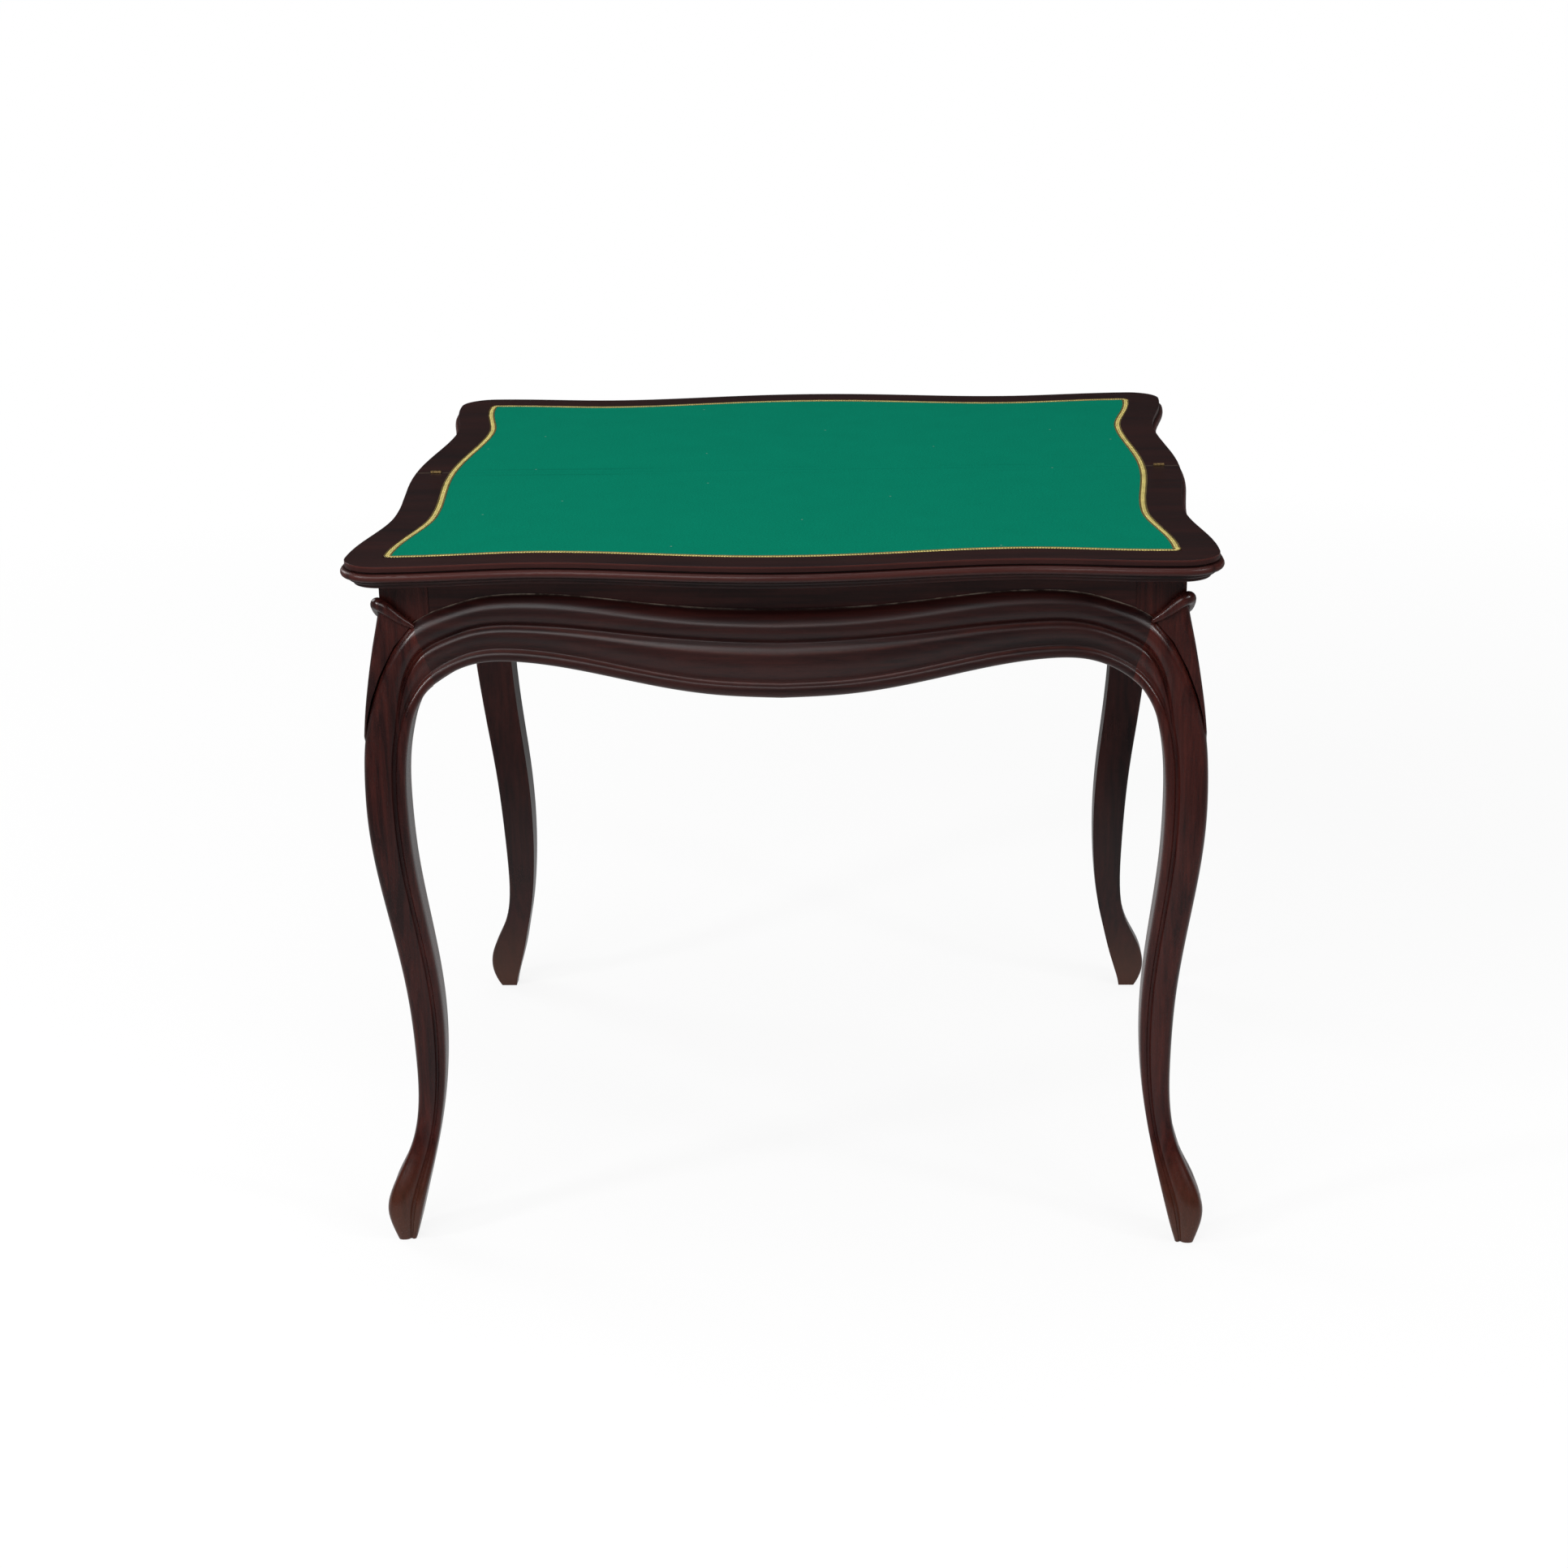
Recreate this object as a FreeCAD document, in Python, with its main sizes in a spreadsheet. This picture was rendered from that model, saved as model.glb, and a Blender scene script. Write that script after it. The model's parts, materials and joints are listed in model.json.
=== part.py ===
import FreeCAD, Part
import os
import Sketcher
from types import SimpleNamespace

Vector = FreeCAD.Vector
Rotation = FreeCAD.Rotation
Placement = FreeCAD.Placement

# Folding game table, shown open. Width runs along X, the front faces -Y, the fold line of the
# top lies over the origin and the feet stand on z = 0. All lengths are in millimetres.
SIZES = {
    # Top: outline of one leaf, from the fold line to its outer edge
    "table_height": 760,
    "ear_half_width": 438,
    "fold_inset": 7,
    "side_hollow": 20,
    "leaf_depth": 416,
    "front_bulge": 12,
    "front_hollow": 14,
    "ear_radius": 38,
    # Edge profile of a leaf: flat band, groove and half-round roll
    "band_height": 6,
    "groove_height": 1.5,
    "groove_depth": 2.5,
    "roll_height": 8.5,
    "roll_reach": 4.5,
    "roll_round": 4,
    # Playing surface let into the leaf
    "border_width": 38,
    "braid_width": 7.5,
    "recess_depth": 1.6,
    "baize_thickness": 1.2,
    "braid_thickness": 1.3,
    "inlay_gap": 0.15,
    "inlay_corner": 2,
    "fold_half_gap": 0.2,
    # Stepped moulding under the lower leaf
    "bed_inset": 3,
    "bed_step": 5,
    "bed_width": 14,
    "bed_upper_height": 4,
    "bed_lower_height": 4.5,
    # Legs
    "post_size": 50,
    "side_overhang": 31,
    "front_overhang": 39,
    "rear_leg_inset": 14,
    "leg_reach": 32,
    "lip_radius": 5,
    "lip_rise": 8,
    "lip_run": 33,
    "lip_drop": 21,
    # Front apron and its carved moulding
    "apron_thickness": 20,
    "apron_setback": 5,
    "apron_drop": 133,
    "apron_arch": 37,
    "moulding_drop": 42,
    "moulding_arch": 16,
    "moulding_reach": 14,
    "apron_bulge": 9,
    # Frame rails and the folding half rails that carry the rear legs
    "rail_thickness": 20,
    "rail_height": 82,
    "rail_setback": 4,
    "rear_rail_setback": 5,
    "half_rail_span": 176,
    "pivot_setback": 115,
    "pivot_clearance": 0.4,
    "slide_gap": 1,
    "cross_rail_setback": 42,
    "block_height": 40,
    "block_side": 62,
    "rear_block_side": 22,
    # Butt hinges of the folding rails
    "rail_hinge_height": 60,
    "rail_hinge_width": 22,
    "rail_plate_thickness": 1.5,
    "rail_knuckle_radius": 3,
    "rail_pin_radius": 1.5,
    # Small butt hinges at the fold of the top
    "leaf_hinge_length": 12,
    "leaf_hinge_width": 12,
    "leaf_plate_thickness": 1.2,
    "leaf_knuckle_radius": 2.5,
    "leaf_pin_radius": 1.2,
    "leaf_hinge_inset": 23,
    "hinge_lift": 0.4,
    # Clearances of the hinges
    "pin_clearance": 0.05,
    "knuckle_gap": 0.3,
    "knuckle_clearance": 0.5,
    "plate_clearance": 0.1,
    # Countersunk screws
    "plate_screw_radius": 1.2,
    "plate_screw_head": 2.3,
    "plate_screw_length": 9,
    "top_screw_radius": 2,
    "top_screw_head": 4,
    "top_screw_grip": 10,
    "screw_clearance": 0.1,
    # Extra length by which every cut runs past the face that it opens
    "overrun": 1,
}

# Shares that place the curves of the top along its sides and ends
SIDE_HOLLOW_SHARE = 0.5
FRONT_HOLLOW_SHARE = 0.56
# Leg stations from the knee down: height share of the frame, reach share, inner offset share of the post
LEG_SHOULDER_SHARES = ((0.945, 0.06, 0.0), (0.89, 0.30, 0.0), (0.83, 0.52, 0.0))
LEG_SHARES = (
    (0.83, 0.52, 0.0), (0.80, 0.61, 0.45), (0.73, 0.76, 0.61), (0.66, 0.79, 0.64), (0.587, 0.68, 0.60),
    (0.49, 0.39, 0.46), (0.366, 0.03, 0.29), (0.266, -0.08, 0.30), (0.188, -0.04, 0.43),
    (0.136, 0.24, 0.58), (0.083, 0.82, 0.76), (0.053, 1.02, 0.88), (0.0, 0.75, 1.08),
)
# The rear legs stand out a little further at the knee, and narrow evenly from below the rails
REAR_SHOULDER_SHARES = ((0.945, 0.06, 0.0), (0.92, 0.20, 0.0), (0.885, 0.42, 0.0))
REAR_LEG_SHARES = (
    (0.885, 0.42, 0.0), (0.86, 0.60, 0.12), (0.83, 0.78, 0.30), (0.80, 0.89, 0.46), (0.73, 1.01, 0.68),
    (0.66, 1.01, 0.71), (0.587, 0.87, 0.66), (0.49, 0.56, 0.51), (0.366, 0.18, 0.32), (0.266, 0.04, 0.32),
    (0.188, 0.06, 0.43), (0.136, 0.32, 0.58), (0.083, 0.87, 0.76), (0.053, 1.05, 0.88), (0.0, 0.75, 1.08),
)
LEG_CORNER_SHARE = 0.36
LEG_EDGE_SHARE = 0.10
# Apron stations from the middle to the post: place along the half length, rise of the lower edge,
# rise of the moulding's upper line and forward bulge
APRON_SHARES = (
    (0.0, 0.0, 0.0, 1.0), (0.2, 0.10, 0.14, 0.85), (0.4, 0.42, 0.52, 0.50), (0.6, 0.82, 1.0, 0.18),
    (0.76, 1.0, 1.12, 0.0), (0.88, 0.97, 0.85, 0.0), (0.95, 0.66, 0.35, 0.0), (1.0, 0.34, -0.19, 0.0),
)
# Section of the moulding from its upper line down: place of the bands and how far each stands out
ROLL_END_SHARE = 0.46
BAND_START_SHARE = 0.50
BAND_END_SHARE = 0.80
BEAD_START_SHARE = 0.84
MOULDING_REACH_SHARES = {"shoulder": 0.3, "roll": 1.0, "quirk": 0.4, "band": 0.75, "bead": 0.65}
SCREW_PLACE_SHARES = (0.25, 0.75)
SCREW_REACH_SHARE = 0.62
HEAD_HEIGHT_SHARE = 0.5
BLOCK_SCREW_SHARE = 0.36
KNUCKLES = 3

doc = FreeCAD.newDocument("FoldingGameTable")
sheet = doc.addObject("Spreadsheet::Sheet", "Sizes")
for row, (alias, number) in enumerate(SIZES.items(), start=1):
    sheet.set(f"A{row}", alias)
    sheet.set(f"B{row}", str(number))
    sheet.setAlias(f"B{row}", alias)
doc.recompute()


class Size:
    """A length with the sheet expression that gives it."""

    def __init__(self, value, text):
        self.value = float(value)
        self.text = text

    def join(self, sign, other, value):
        return Size(value, f"({self.text} {sign} {other.text})")

    def __add__(self, other):
        other = as_size(other)
        return self.join("+", other, self.value + other.value)

    def __sub__(self, other):
        other = as_size(other)
        return self.join("-", other, self.value - other.value)

    def __mul__(self, other):
        other = as_size(other)
        return self.join("*", other, self.value * other.value)

    def __truediv__(self, other):
        other = as_size(other)
        return self.join("/", other, self.value / other.value)

    def __radd__(self, other):
        return as_size(other) + self

    def __rsub__(self, other):
        return as_size(other) - self

    def __rmul__(self, other):
        return as_size(other) * self

    def __neg__(self):
        return self * -1


def as_size(item):
    if isinstance(item, Size):
        return item
    return Size(item, str(item))


S = SimpleNamespace(**{alias: Size(sheet.get(alias), "Sizes." + alias) for alias in SIZES})
nodes = {}

# Places that several pieces share
fold_half_width = S.ear_half_width - S.fold_inset
leaf_thickness = S.band_height + S.groove_height + S.roll_height
frame_top = S.table_height - leaf_thickness
sliding_top = frame_top - S.slide_gap
rail_foot = frame_top - S.rail_height
front_face = S.leaf_depth - S.front_overhang
post_back = front_face - S.post_size
apron_face = front_face - S.apron_setback
apron_back = apron_face - S.apron_thickness
post_outer = S.ear_half_width - S.side_overhang
post_inner = post_outer - S.post_size
rear_outer = post_outer - S.rear_leg_inset
rear_inner = rear_outer - S.post_size
rail_outer = rear_outer - S.rail_setback
rail_inner = rail_outer - S.rail_thickness
front_pivot = -S.pivot_setback
middle_pivot = front_pivot + S.half_rail_span
rear_pivot = middle_pivot + S.half_rail_span
rear_post_front = rear_pivot + S.pivot_clearance
rear_face = rear_post_front + S.post_size
rear_rail_back = rear_face - S.rear_rail_setback
rear_rail_front = rear_rail_back - S.rail_thickness


def bind(item, prop, size):
    item.setExpression(prop, as_size(size).text)


def place(item, corner, rotation=None):
    """Put an object at a point given as three sizes, turned by a rotation."""
    sizes = [as_size(size) for size in corner]
    item.Placement = Placement(Vector(*[size.value for size in sizes]), rotation or Rotation())
    for axis, size in zip("xyz", sizes):
        bind(item, f".Placement.Base.{axis}", size)
    return item


def box(name, lengths, corner, rotation=None):
    item = doc.addObject("Part::Box", name)
    for prop, length in zip(("Length", "Width", "Height"), lengths):
        bind(item, prop, length)
    return place(item, corner, rotation)


def rod(name, radius, height, base, rotation=None):
    item = doc.addObject("Part::Cylinder", name)
    bind(item, "Radius", radius)
    bind(item, "Height", height)
    return place(item, base, rotation)


def fuse(name, items):
    item = doc.addObject("Part::MultiFuse", name)
    item.Shapes = items
    return item


def gather(name, items):
    item = doc.addObject("Part::Compound", name)
    item.Links = items
    return item


def cut(name, base, tools):
    item = doc.addObject("Part::Cut", name)
    item.Base = base
    item.Tool = tools[0] if len(tools) == 1 else gather(name + "_tools", tools)
    return item


def free_shape(name, shape):
    item = doc.addObject("Part::Feature", name)
    item.Shape = shape
    return item


def node(name, item):
    item.Label = name
    nodes[name] = item
    return item


def origin_plane(body, role):
    return next(plane for plane in body.Origin.OriginFeatures if plane.Role == role)


def hold(sketch, kind, index, size):
    """Fix one coordinate of a corner: on its axis where it is zero, else at a bound distance."""
    if size.value == 0:
        sketch.addConstraint(Sketcher.Constraint("PointOnObject", index, 1, -2 if kind == "DistanceX" else -1))
        return
    number = sketch.addConstraint(Sketcher.Constraint(kind, -1, 1, index, 1, size.value))
    sketch.setExpression(f"Constraints[{number}]", size.text)


def polygon_sketch(body, role, corners):
    """Closed polygon on one of the body's own planes, each corner a pair of sizes."""
    sketch = body.newObject("Sketcher::SketchObject", body.Name + "_sketch")
    sketch.AttachmentSupport = [(origin_plane(body, role), "")]
    sketch.MapMode = "FlatFace"
    corners = [(as_size(u), as_size(v)) for u, v in corners]
    points = [Vector(u.value, v.value, 0) for u, v in corners]
    for start, end in zip(points, points[1:] + points[:1]):
        sketch.addGeometry(Part.LineSegment(start, end), False)
    for index in range(len(points)):
        sketch.addConstraint(Sketcher.Constraint("Coincident", index, 2, (index + 1) % len(points), 1))
    for index, (u, v) in enumerate(corners):
        hold(sketch, "DistanceX", index, u)
        hold(sketch, "DistanceY", index, v)
    return sketch


def padded(name, corners, height, base, rotation=None):
    """A board or block padded upward from a polygon in plan."""
    body = doc.addObject("PartDesign::Body", name)
    pad = body.newObject("PartDesign::Pad", name + "_pad")
    pad.Profile = polygon_sketch(body, "XY_Plane", corners)
    bind(pad, "Length", height)
    body.Tip = pad
    return place(body, base, rotation)


def board(name, lengths, corner):
    width, depth, height = lengths
    return padded(name, [(0, 0), (width, 0), (width, depth), (0, depth)], height, corner)


def turned(name, profile, base, rotation=None):
    """A turned piece, its half profile revolved about its own upright axis."""
    body = doc.addObject("PartDesign::Body", name)
    sketch = polygon_sketch(body, "XZ_Plane", profile)
    spin = body.newObject("PartDesign::Revolution", name + "_turning")
    spin.Profile = sketch
    spin.ReferenceAxis = (sketch, ["V_Axis"])
    spin.Angle = 360
    body.Tip = spin
    return place(body, base, rotation)


# Curves of the top

def wave(points, along):
    """Smooth curve through points, running parallel to one direction at each of them."""
    curve = Part.BSplineCurve()
    curve.interpolate(Points=points, Tangents=[along] * len(points), TangentFlags=[True] * len(points))
    return curve.toShape()


def leaf_face(inset, height):
    """Outline of a leaf, drawn in by an inset, as a flat face at a height."""
    level = as_size(height).value
    inset = as_size(inset).value
    fold = S.fold_half_gap.value
    side = S.ear_half_width.value - inset
    end = S.leaf_depth.value - inset
    radius = max(S.ear_radius.value - inset, S.inlay_corner.value)
    diagonal = radius * (1 - 0.5 ** 0.5)
    halves = []
    for sign in (1, -1):

        def at(x, y):
            return Vector(sign * x, y, level)

        fold_end = at(fold_half_width.value - inset, fold)
        ear_side = at(side, end - radius)
        ear_front = at(side - radius, end)
        middle = at(0, end + S.front_bulge.value)
        side_dip = at(side - S.side_hollow.value, S.leaf_depth.value * SIDE_HOLLOW_SHARE)
        front_dip = at(S.ear_half_width.value * FRONT_HOLLOW_SHARE, end - S.front_hollow.value)
        flank = wave([fold_end, side_dip, ear_side], Vector(0, 1, 0))
        ear = Part.Arc(ear_side, at(side - diagonal, end - diagonal), ear_front).toShape()
        brow = wave([ear_front, front_dip, middle], Vector(-sign, 0, 0))
        halves.append([flank, ear, brow])
    right, left = halves
    seam = Part.makeLine(left[0].Vertexes[0].Point, right[0].Vertexes[0].Point)
    outline = Part.Wire(Part.sortEdges([seam] + right + left)[0])
    return Part.Face(outline)


def layer(name, inset, height, thickness, inner=None):
    """A slab of the leaf's outline, or the rim left between two insets of it."""
    face = leaf_face(inset, height)
    if inner is not None:
        face = face.cut(leaf_face(inner, height))
    slab = doc.addObject("Part::Extrusion", name)
    slab.Base = free_shape(name + "_outline", face)
    slab.DirMode = "Custom"
    slab.Dir = Vector(0, 0, 1)
    bind(slab, "LengthFwd", thickness)
    slab.Solid = True
    return slab


def rounded_layer(name, inset, height, thickness, radius):
    """A slab whose outer edges are rounded above and below, square along the fold."""
    rise = as_size(thickness).value
    slab = leaf_face(inset, height).extrude(Vector(0, 0, rise))
    fold = slab.BoundBox.YMin
    edges = []
    for edge in slab.Edges:
        upright = edge.BoundBox.ZLength > edge.BoundBox.XLength + edge.BoundBox.YLength
        along_fold = edge.BoundBox.YMax < fold + rise
        if not upright and not along_fold:
            edges.append(edge)
    return free_shape(name, slab.makeFillet(as_size(radius).value, edges))


HALF_TURN = Rotation(Vector(0, 0, 1), 180)


def leaf(name, rotation, tools):
    """One leaf with its moulded edge and the shallow recess for the playing surface."""
    roll = rounded_layer(name + "_roll", -S.roll_reach, frame_top, S.roll_height, S.roll_round)
    groove = layer(name + "_groove", S.groove_depth, frame_top + S.roll_height, S.groove_height)
    band = layer(name + "_band", 0, S.table_height - S.band_height, S.band_height)
    recess = layer(name + "_recess", S.border_width, S.table_height - S.recess_depth, S.recess_depth + S.overrun)
    slab = cut(name + "_slab", fuse(name + "_layers", [roll, groove, band]), [recess])
    slab.Placement = Placement(Vector(), rotation)
    return node(name, cut(name, slab, tools))


def inlay(prefix, rotation):
    """Baize and the gilt braid that borders it, both lying on the floor of the recess."""
    floor = S.table_height - S.recess_depth
    braid_outer = S.border_width + S.inlay_gap
    baize_outer = S.border_width + S.braid_width + S.inlay_gap
    braid = layer(prefix + "_braid", braid_outer, floor, S.braid_thickness, S.border_width + S.braid_width)
    baize = layer(prefix + "_baize", baize_outer, floor, S.baize_thickness)
    for item, name in ((braid, prefix + "_braid"), (baize, prefix + "_baize")):
        item.Placement = Placement(Vector(), rotation)
        node(name, item)


# Legs

def leg_section(height_share, reach_share, inner_share, corner, signs):
    """Horizontal section of a leg, square with a broadly rounded outer corner."""
    post = S.post_size.value
    outer = S.leg_reach.value * reach_share
    inner = post * inner_share - post
    level = frame_top.value * height_share
    width = outer - inner
    broad = width * LEG_CORNER_SHARE
    small = width * LEG_EDGE_SHARE

    def at(u, v):
        return Vector(signs[0] * (corner[0].value + inner + u), signs[1] * (corner[1].value + inner + v), level)

    def corner_arc(start, end, tip, radius):
        centre = start + end - tip
        middle = centre + (tip - centre) * (radius / (tip - centre).Length)
        return Part.Arc(start, middle, end).toShape()

    inside = at(0, 0)
    side_arc = (at(width - small, 0), at(width, small), at(width, 0))
    nose_arc = (at(width, width - broad), at(width - broad, width), at(width, width))
    end_arc = (at(small, width), at(0, width - small), at(0, width))
    edges = [
        Part.makeLine(inside, side_arc[0]),
        corner_arc(*side_arc, small),
        Part.makeLine(side_arc[1], nose_arc[0]),
        corner_arc(*nose_arc, broad),
        Part.makeLine(nose_arc[1], end_arc[0]),
        corner_arc(*end_arc, small),
        Part.makeLine(end_arc[1], inside),
    ]
    return Part.Wire(edges)


def leg_lip(corner, signs, height):
    """Rounded lip that falls from the outer corner of the post across both of its outer faces."""
    radius = S.lip_radius.value
    peak = Vector(signs[0] * corner[0].value, signs[1] * corner[1].value, height.value)
    lip = Part.makeSphere(radius, peak)
    for along in (Vector(signs[0], 0, 0), Vector(0, signs[1], 0)):
        fall = along * -S.lip_run.value - Vector(0, 0, S.lip_drop.value)
        lip = lip.fuse(Part.makeCylinder(radius, fall.Length, peak, fall))
        lip = lip.fuse(Part.makeSphere(radius, peak + fall))
    return lip.removeSplitter()


def leg(name, corner, signs, top, tools):
    """A cabriole leg: square post, rounded lip at the knee and a curved shaft to the foot."""
    front = signs[1] < 0
    shoulder_shares = LEG_SHOULDER_SHARES if front else REAR_SHOULDER_SHARES
    shaft_shares = LEG_SHARES if front else REAR_LEG_SHARES
    shoulder_height = frame_top * shoulder_shares[0][0]
    shoulder = Part.makeLoft([leg_section(*row, corner, signs) for row in shoulder_shares], True)
    shaft = Part.makeLoft([leg_section(*row, corner, signs) for row in shaft_shares], True)
    lows = []
    for size, sign in zip(corner, signs):
        lows.append(size - S.post_size if sign > 0 else -size)
    post = box(name + "_post", (S.post_size, S.post_size, top - shoulder_height), (*lows, shoulder_height))
    lip = free_shape(name + "_lip", leg_lip(corner, signs, shoulder_height + S.lip_rise))
    solids = [post, lip, free_shape(name + "_shoulder", shoulder), free_shape(name + "_shaft", shaft)]
    whole = fuse(name + "_whole", solids)
    return node(name, cut(name, whole, tools) if tools else whole)


# Apron

def apron_level(drop, arch, rise_share):
    return frame_top.value - as_size(drop).value + as_size(arch).value * rise_share


def apron_board():
    """Board between the front posts, its lower edge a serpentine curve."""
    half = post_inner.value
    rows = [(-row[0], row[1]) for row in reversed(APRON_SHARES[1:])] + [row[:2] for row in APRON_SHARES]
    face_y = -apron_face.value
    lower = [Vector(half * x, face_y, apron_level(S.apron_drop, S.apron_arch, rise)) for x, rise in rows]
    curve = Part.BSplineCurve()
    curve.interpolate(lower)
    top_left = Vector(-half, face_y, frame_top.value)
    top_right = Vector(half, face_y, frame_top.value)
    edges = [
        curve.toShape(),
        Part.makeLine(lower[-1], top_right),
        Part.makeLine(top_right, top_left),
        Part.makeLine(top_left, lower[0]),
    ]
    item = doc.addObject("Part::Extrusion", "front_apron")
    item.Base = free_shape("front_apron_outline", Part.Face(Part.Wire(edges)))
    item.DirMode = "Custom"
    item.Dir = Vector(0, 1, 0)
    bind(item, "LengthFwd", S.apron_thickness)
    item.Solid = True
    return item


def moulding_section(along, lower_rise, upper_rise, bulge_share):
    """Section of the carved moulding: broad roll, hollow quirk, second band and bead."""
    x = post_inner.value * along
    upper = apron_level(S.moulding_drop, S.moulding_arch, upper_rise)
    lower = apron_level(S.apron_drop, S.apron_arch, lower_rise)
    bulge = S.apron_bulge.value * bulge_share
    reach = {part: S.moulding_reach.value * share for part, share in MOULDING_REACH_SHARES.items()}

    def at(part, down):
        return Vector(x, -apron_face.value - bulge - reach[part], upper - (upper - lower) * down)

    def swell(first, part, last, start, end):
        return Part.Arc(at(first, start), at(part, (start + end) / 2), at(last, end)).toShape()

    back_top = Vector(x, -apron_face.value, upper)
    back_low = Vector(x, -apron_face.value, lower)
    edges = [
        Part.makeLine(back_top, at("shoulder", 0)),
        swell("shoulder", "roll", "quirk", 0, ROLL_END_SHARE),
        Part.makeLine(at("quirk", ROLL_END_SHARE), at("quirk", BAND_START_SHARE)),
        swell("quirk", "band", "quirk", BAND_START_SHARE, BAND_END_SHARE),
        Part.makeLine(at("quirk", BAND_END_SHARE), at("quirk", BEAD_START_SHARE)),
        swell("quirk", "bead", "shoulder", BEAD_START_SHARE, 1),
        Part.makeLine(at("shoulder", 1), back_low),
        Part.makeLine(back_low, back_top),
    ]
    return Part.Wire(edges)


def apron_moulding():
    rows = [(-row[0],) + row[1:] for row in reversed(APRON_SHARES[1:])] + list(APRON_SHARES)
    return free_shape("apron_moulding", Part.makeLoft([moulding_section(*row) for row in rows], True))


# Hinges and screws. A hinge is drawn with its axis along Z: a plate lies just behind the face at
# x = -gap and reaches along +Y or -Y from the axis.

RAIL_HINGE = SimpleNamespace(
    height=S.rail_hinge_height, width=S.rail_hinge_width, thickness=S.rail_plate_thickness,
    knuckle=S.rail_knuckle_radius, pin=S.rail_pin_radius, gap=S.pivot_clearance)
LEAF_HINGE = SimpleNamespace(
    height=S.leaf_hinge_length, width=S.leaf_hinge_width, thickness=S.leaf_plate_thickness,
    knuckle=S.leaf_knuckle_radius, pin=S.leaf_pin_radius, gap=S.fold_half_gap)
INTO_WOOD = Rotation(Vector(0, 1, 0), -90)


def screw_shape(radius, head, length, margin):
    """Countersunk screw pointing along +Z, its head flush with z = 0, grown by a margin."""
    sink = head * HEAD_HEIGHT_SHARE
    cone = Part.makeCone(head + margin, radius + margin, sink)
    shank = Part.makeCylinder(radius + margin, length + margin)
    return cone.fuse(shank).removeSplitter()


def plate_screw(margin):
    return screw_shape(S.plate_screw_radius.value, S.plate_screw_head.value, S.plate_screw_length.value, margin)


def screw_places(spec, side, placement):
    """Where the screws of one plate sit, as placements in the table's frame."""
    places = []
    for share in SCREW_PLACE_SHARES:
        reach = side * spec.width.value * SCREW_REACH_SHARE
        point = Vector(-spec.gap.value, reach, spec.height.value * share)
        places.append(placement.multiply(Placement(point, INTO_WOOD)))
    return places


def copies(name, shape, places):
    return free_shape(name, Part.makeCompound([shape.transformed(spot.toMatrix()) for spot in places]))


def strip(name, spec, side, near, far, low, high, margin):
    """Flat strip behind the hinged face, between two distances from the axis."""
    start = near if side > 0 else -far
    lengths = (spec.thickness + margin, far - near, high - low)
    return box(name, lengths, (-spec.gap - spec.thickness - margin, start, low))


def hinge_plate(name, spec, side, middle, placement, places):
    """One brass leaf of a butt hinge with its share of the knuckles."""
    pitch = spec.height / KNUCKLES
    root = spec.knuckle + S.knuckle_gap
    pieces = [strip(name + "_leaf", spec, side, root, spec.width, as_size(0), spec.height, 0)]
    for index in range(KNUCKLES):
        if (index % 2 == 1) != middle:
            continue
        low = pitch * index + S.knuckle_gap / 2
        high = pitch * (index + 1) - S.knuckle_gap / 2
        label = f"{name}_{index}"
        pieces.append(strip(label + "_web", spec, side, as_size(0), root + spec.thickness, low, high, 0))
        pieces.append(rod(label + "_knuckle", spec.knuckle, high - low, (0, 0, low)))
    bore = rod(name + "_bore", spec.pin + S.pin_clearance, spec.height, (0, 0, 0))
    holes = copies(name + "_holes", plate_screw(S.screw_clearance.value), screw_places(spec, side, Placement()))
    plate = cut(name, fuse(name + "_brass", pieces), [bore, holes])
    plate.Placement = placement
    places.extend(screw_places(spec, side, placement))
    return node(name, plate)


def hinge_mortise(name, spec, side, placement):
    """Cutter for the wood: bed of the plate, room for the knuckles and screw holes."""
    fit = S.plate_clearance
    bed = strip(name + "_bed", spec, side, as_size(0), spec.width + fit, -fit, spec.height + fit, fit)
    bind(bed, "Length", spec.thickness + fit + spec.gap + S.overrun)
    room = rod(name + "_room", spec.knuckle + S.knuckle_clearance, spec.height + fit * 2, (0, 0, -fit))
    holes = copies(name + "_pilots", plate_screw(S.screw_clearance.value), screw_places(spec, side, Placement()))
    tool = fuse(name, [bed, room, holes])
    tool.Placement = placement
    return tool


def hinge_pin(name, spec, base, rotation=None):
    profile = [(0, 0), (spec.pin, 0), (spec.pin, spec.height), (0, spec.height)]
    return turned(name, profile, base, rotation)


def spot(x, y, z, rotation):
    return Placement(Vector(as_size(x).value, as_size(y).value, as_size(z).value), rotation)


# Hinges at the fold of the top: axis along X, just above the surface, at both ends of the fold

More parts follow.
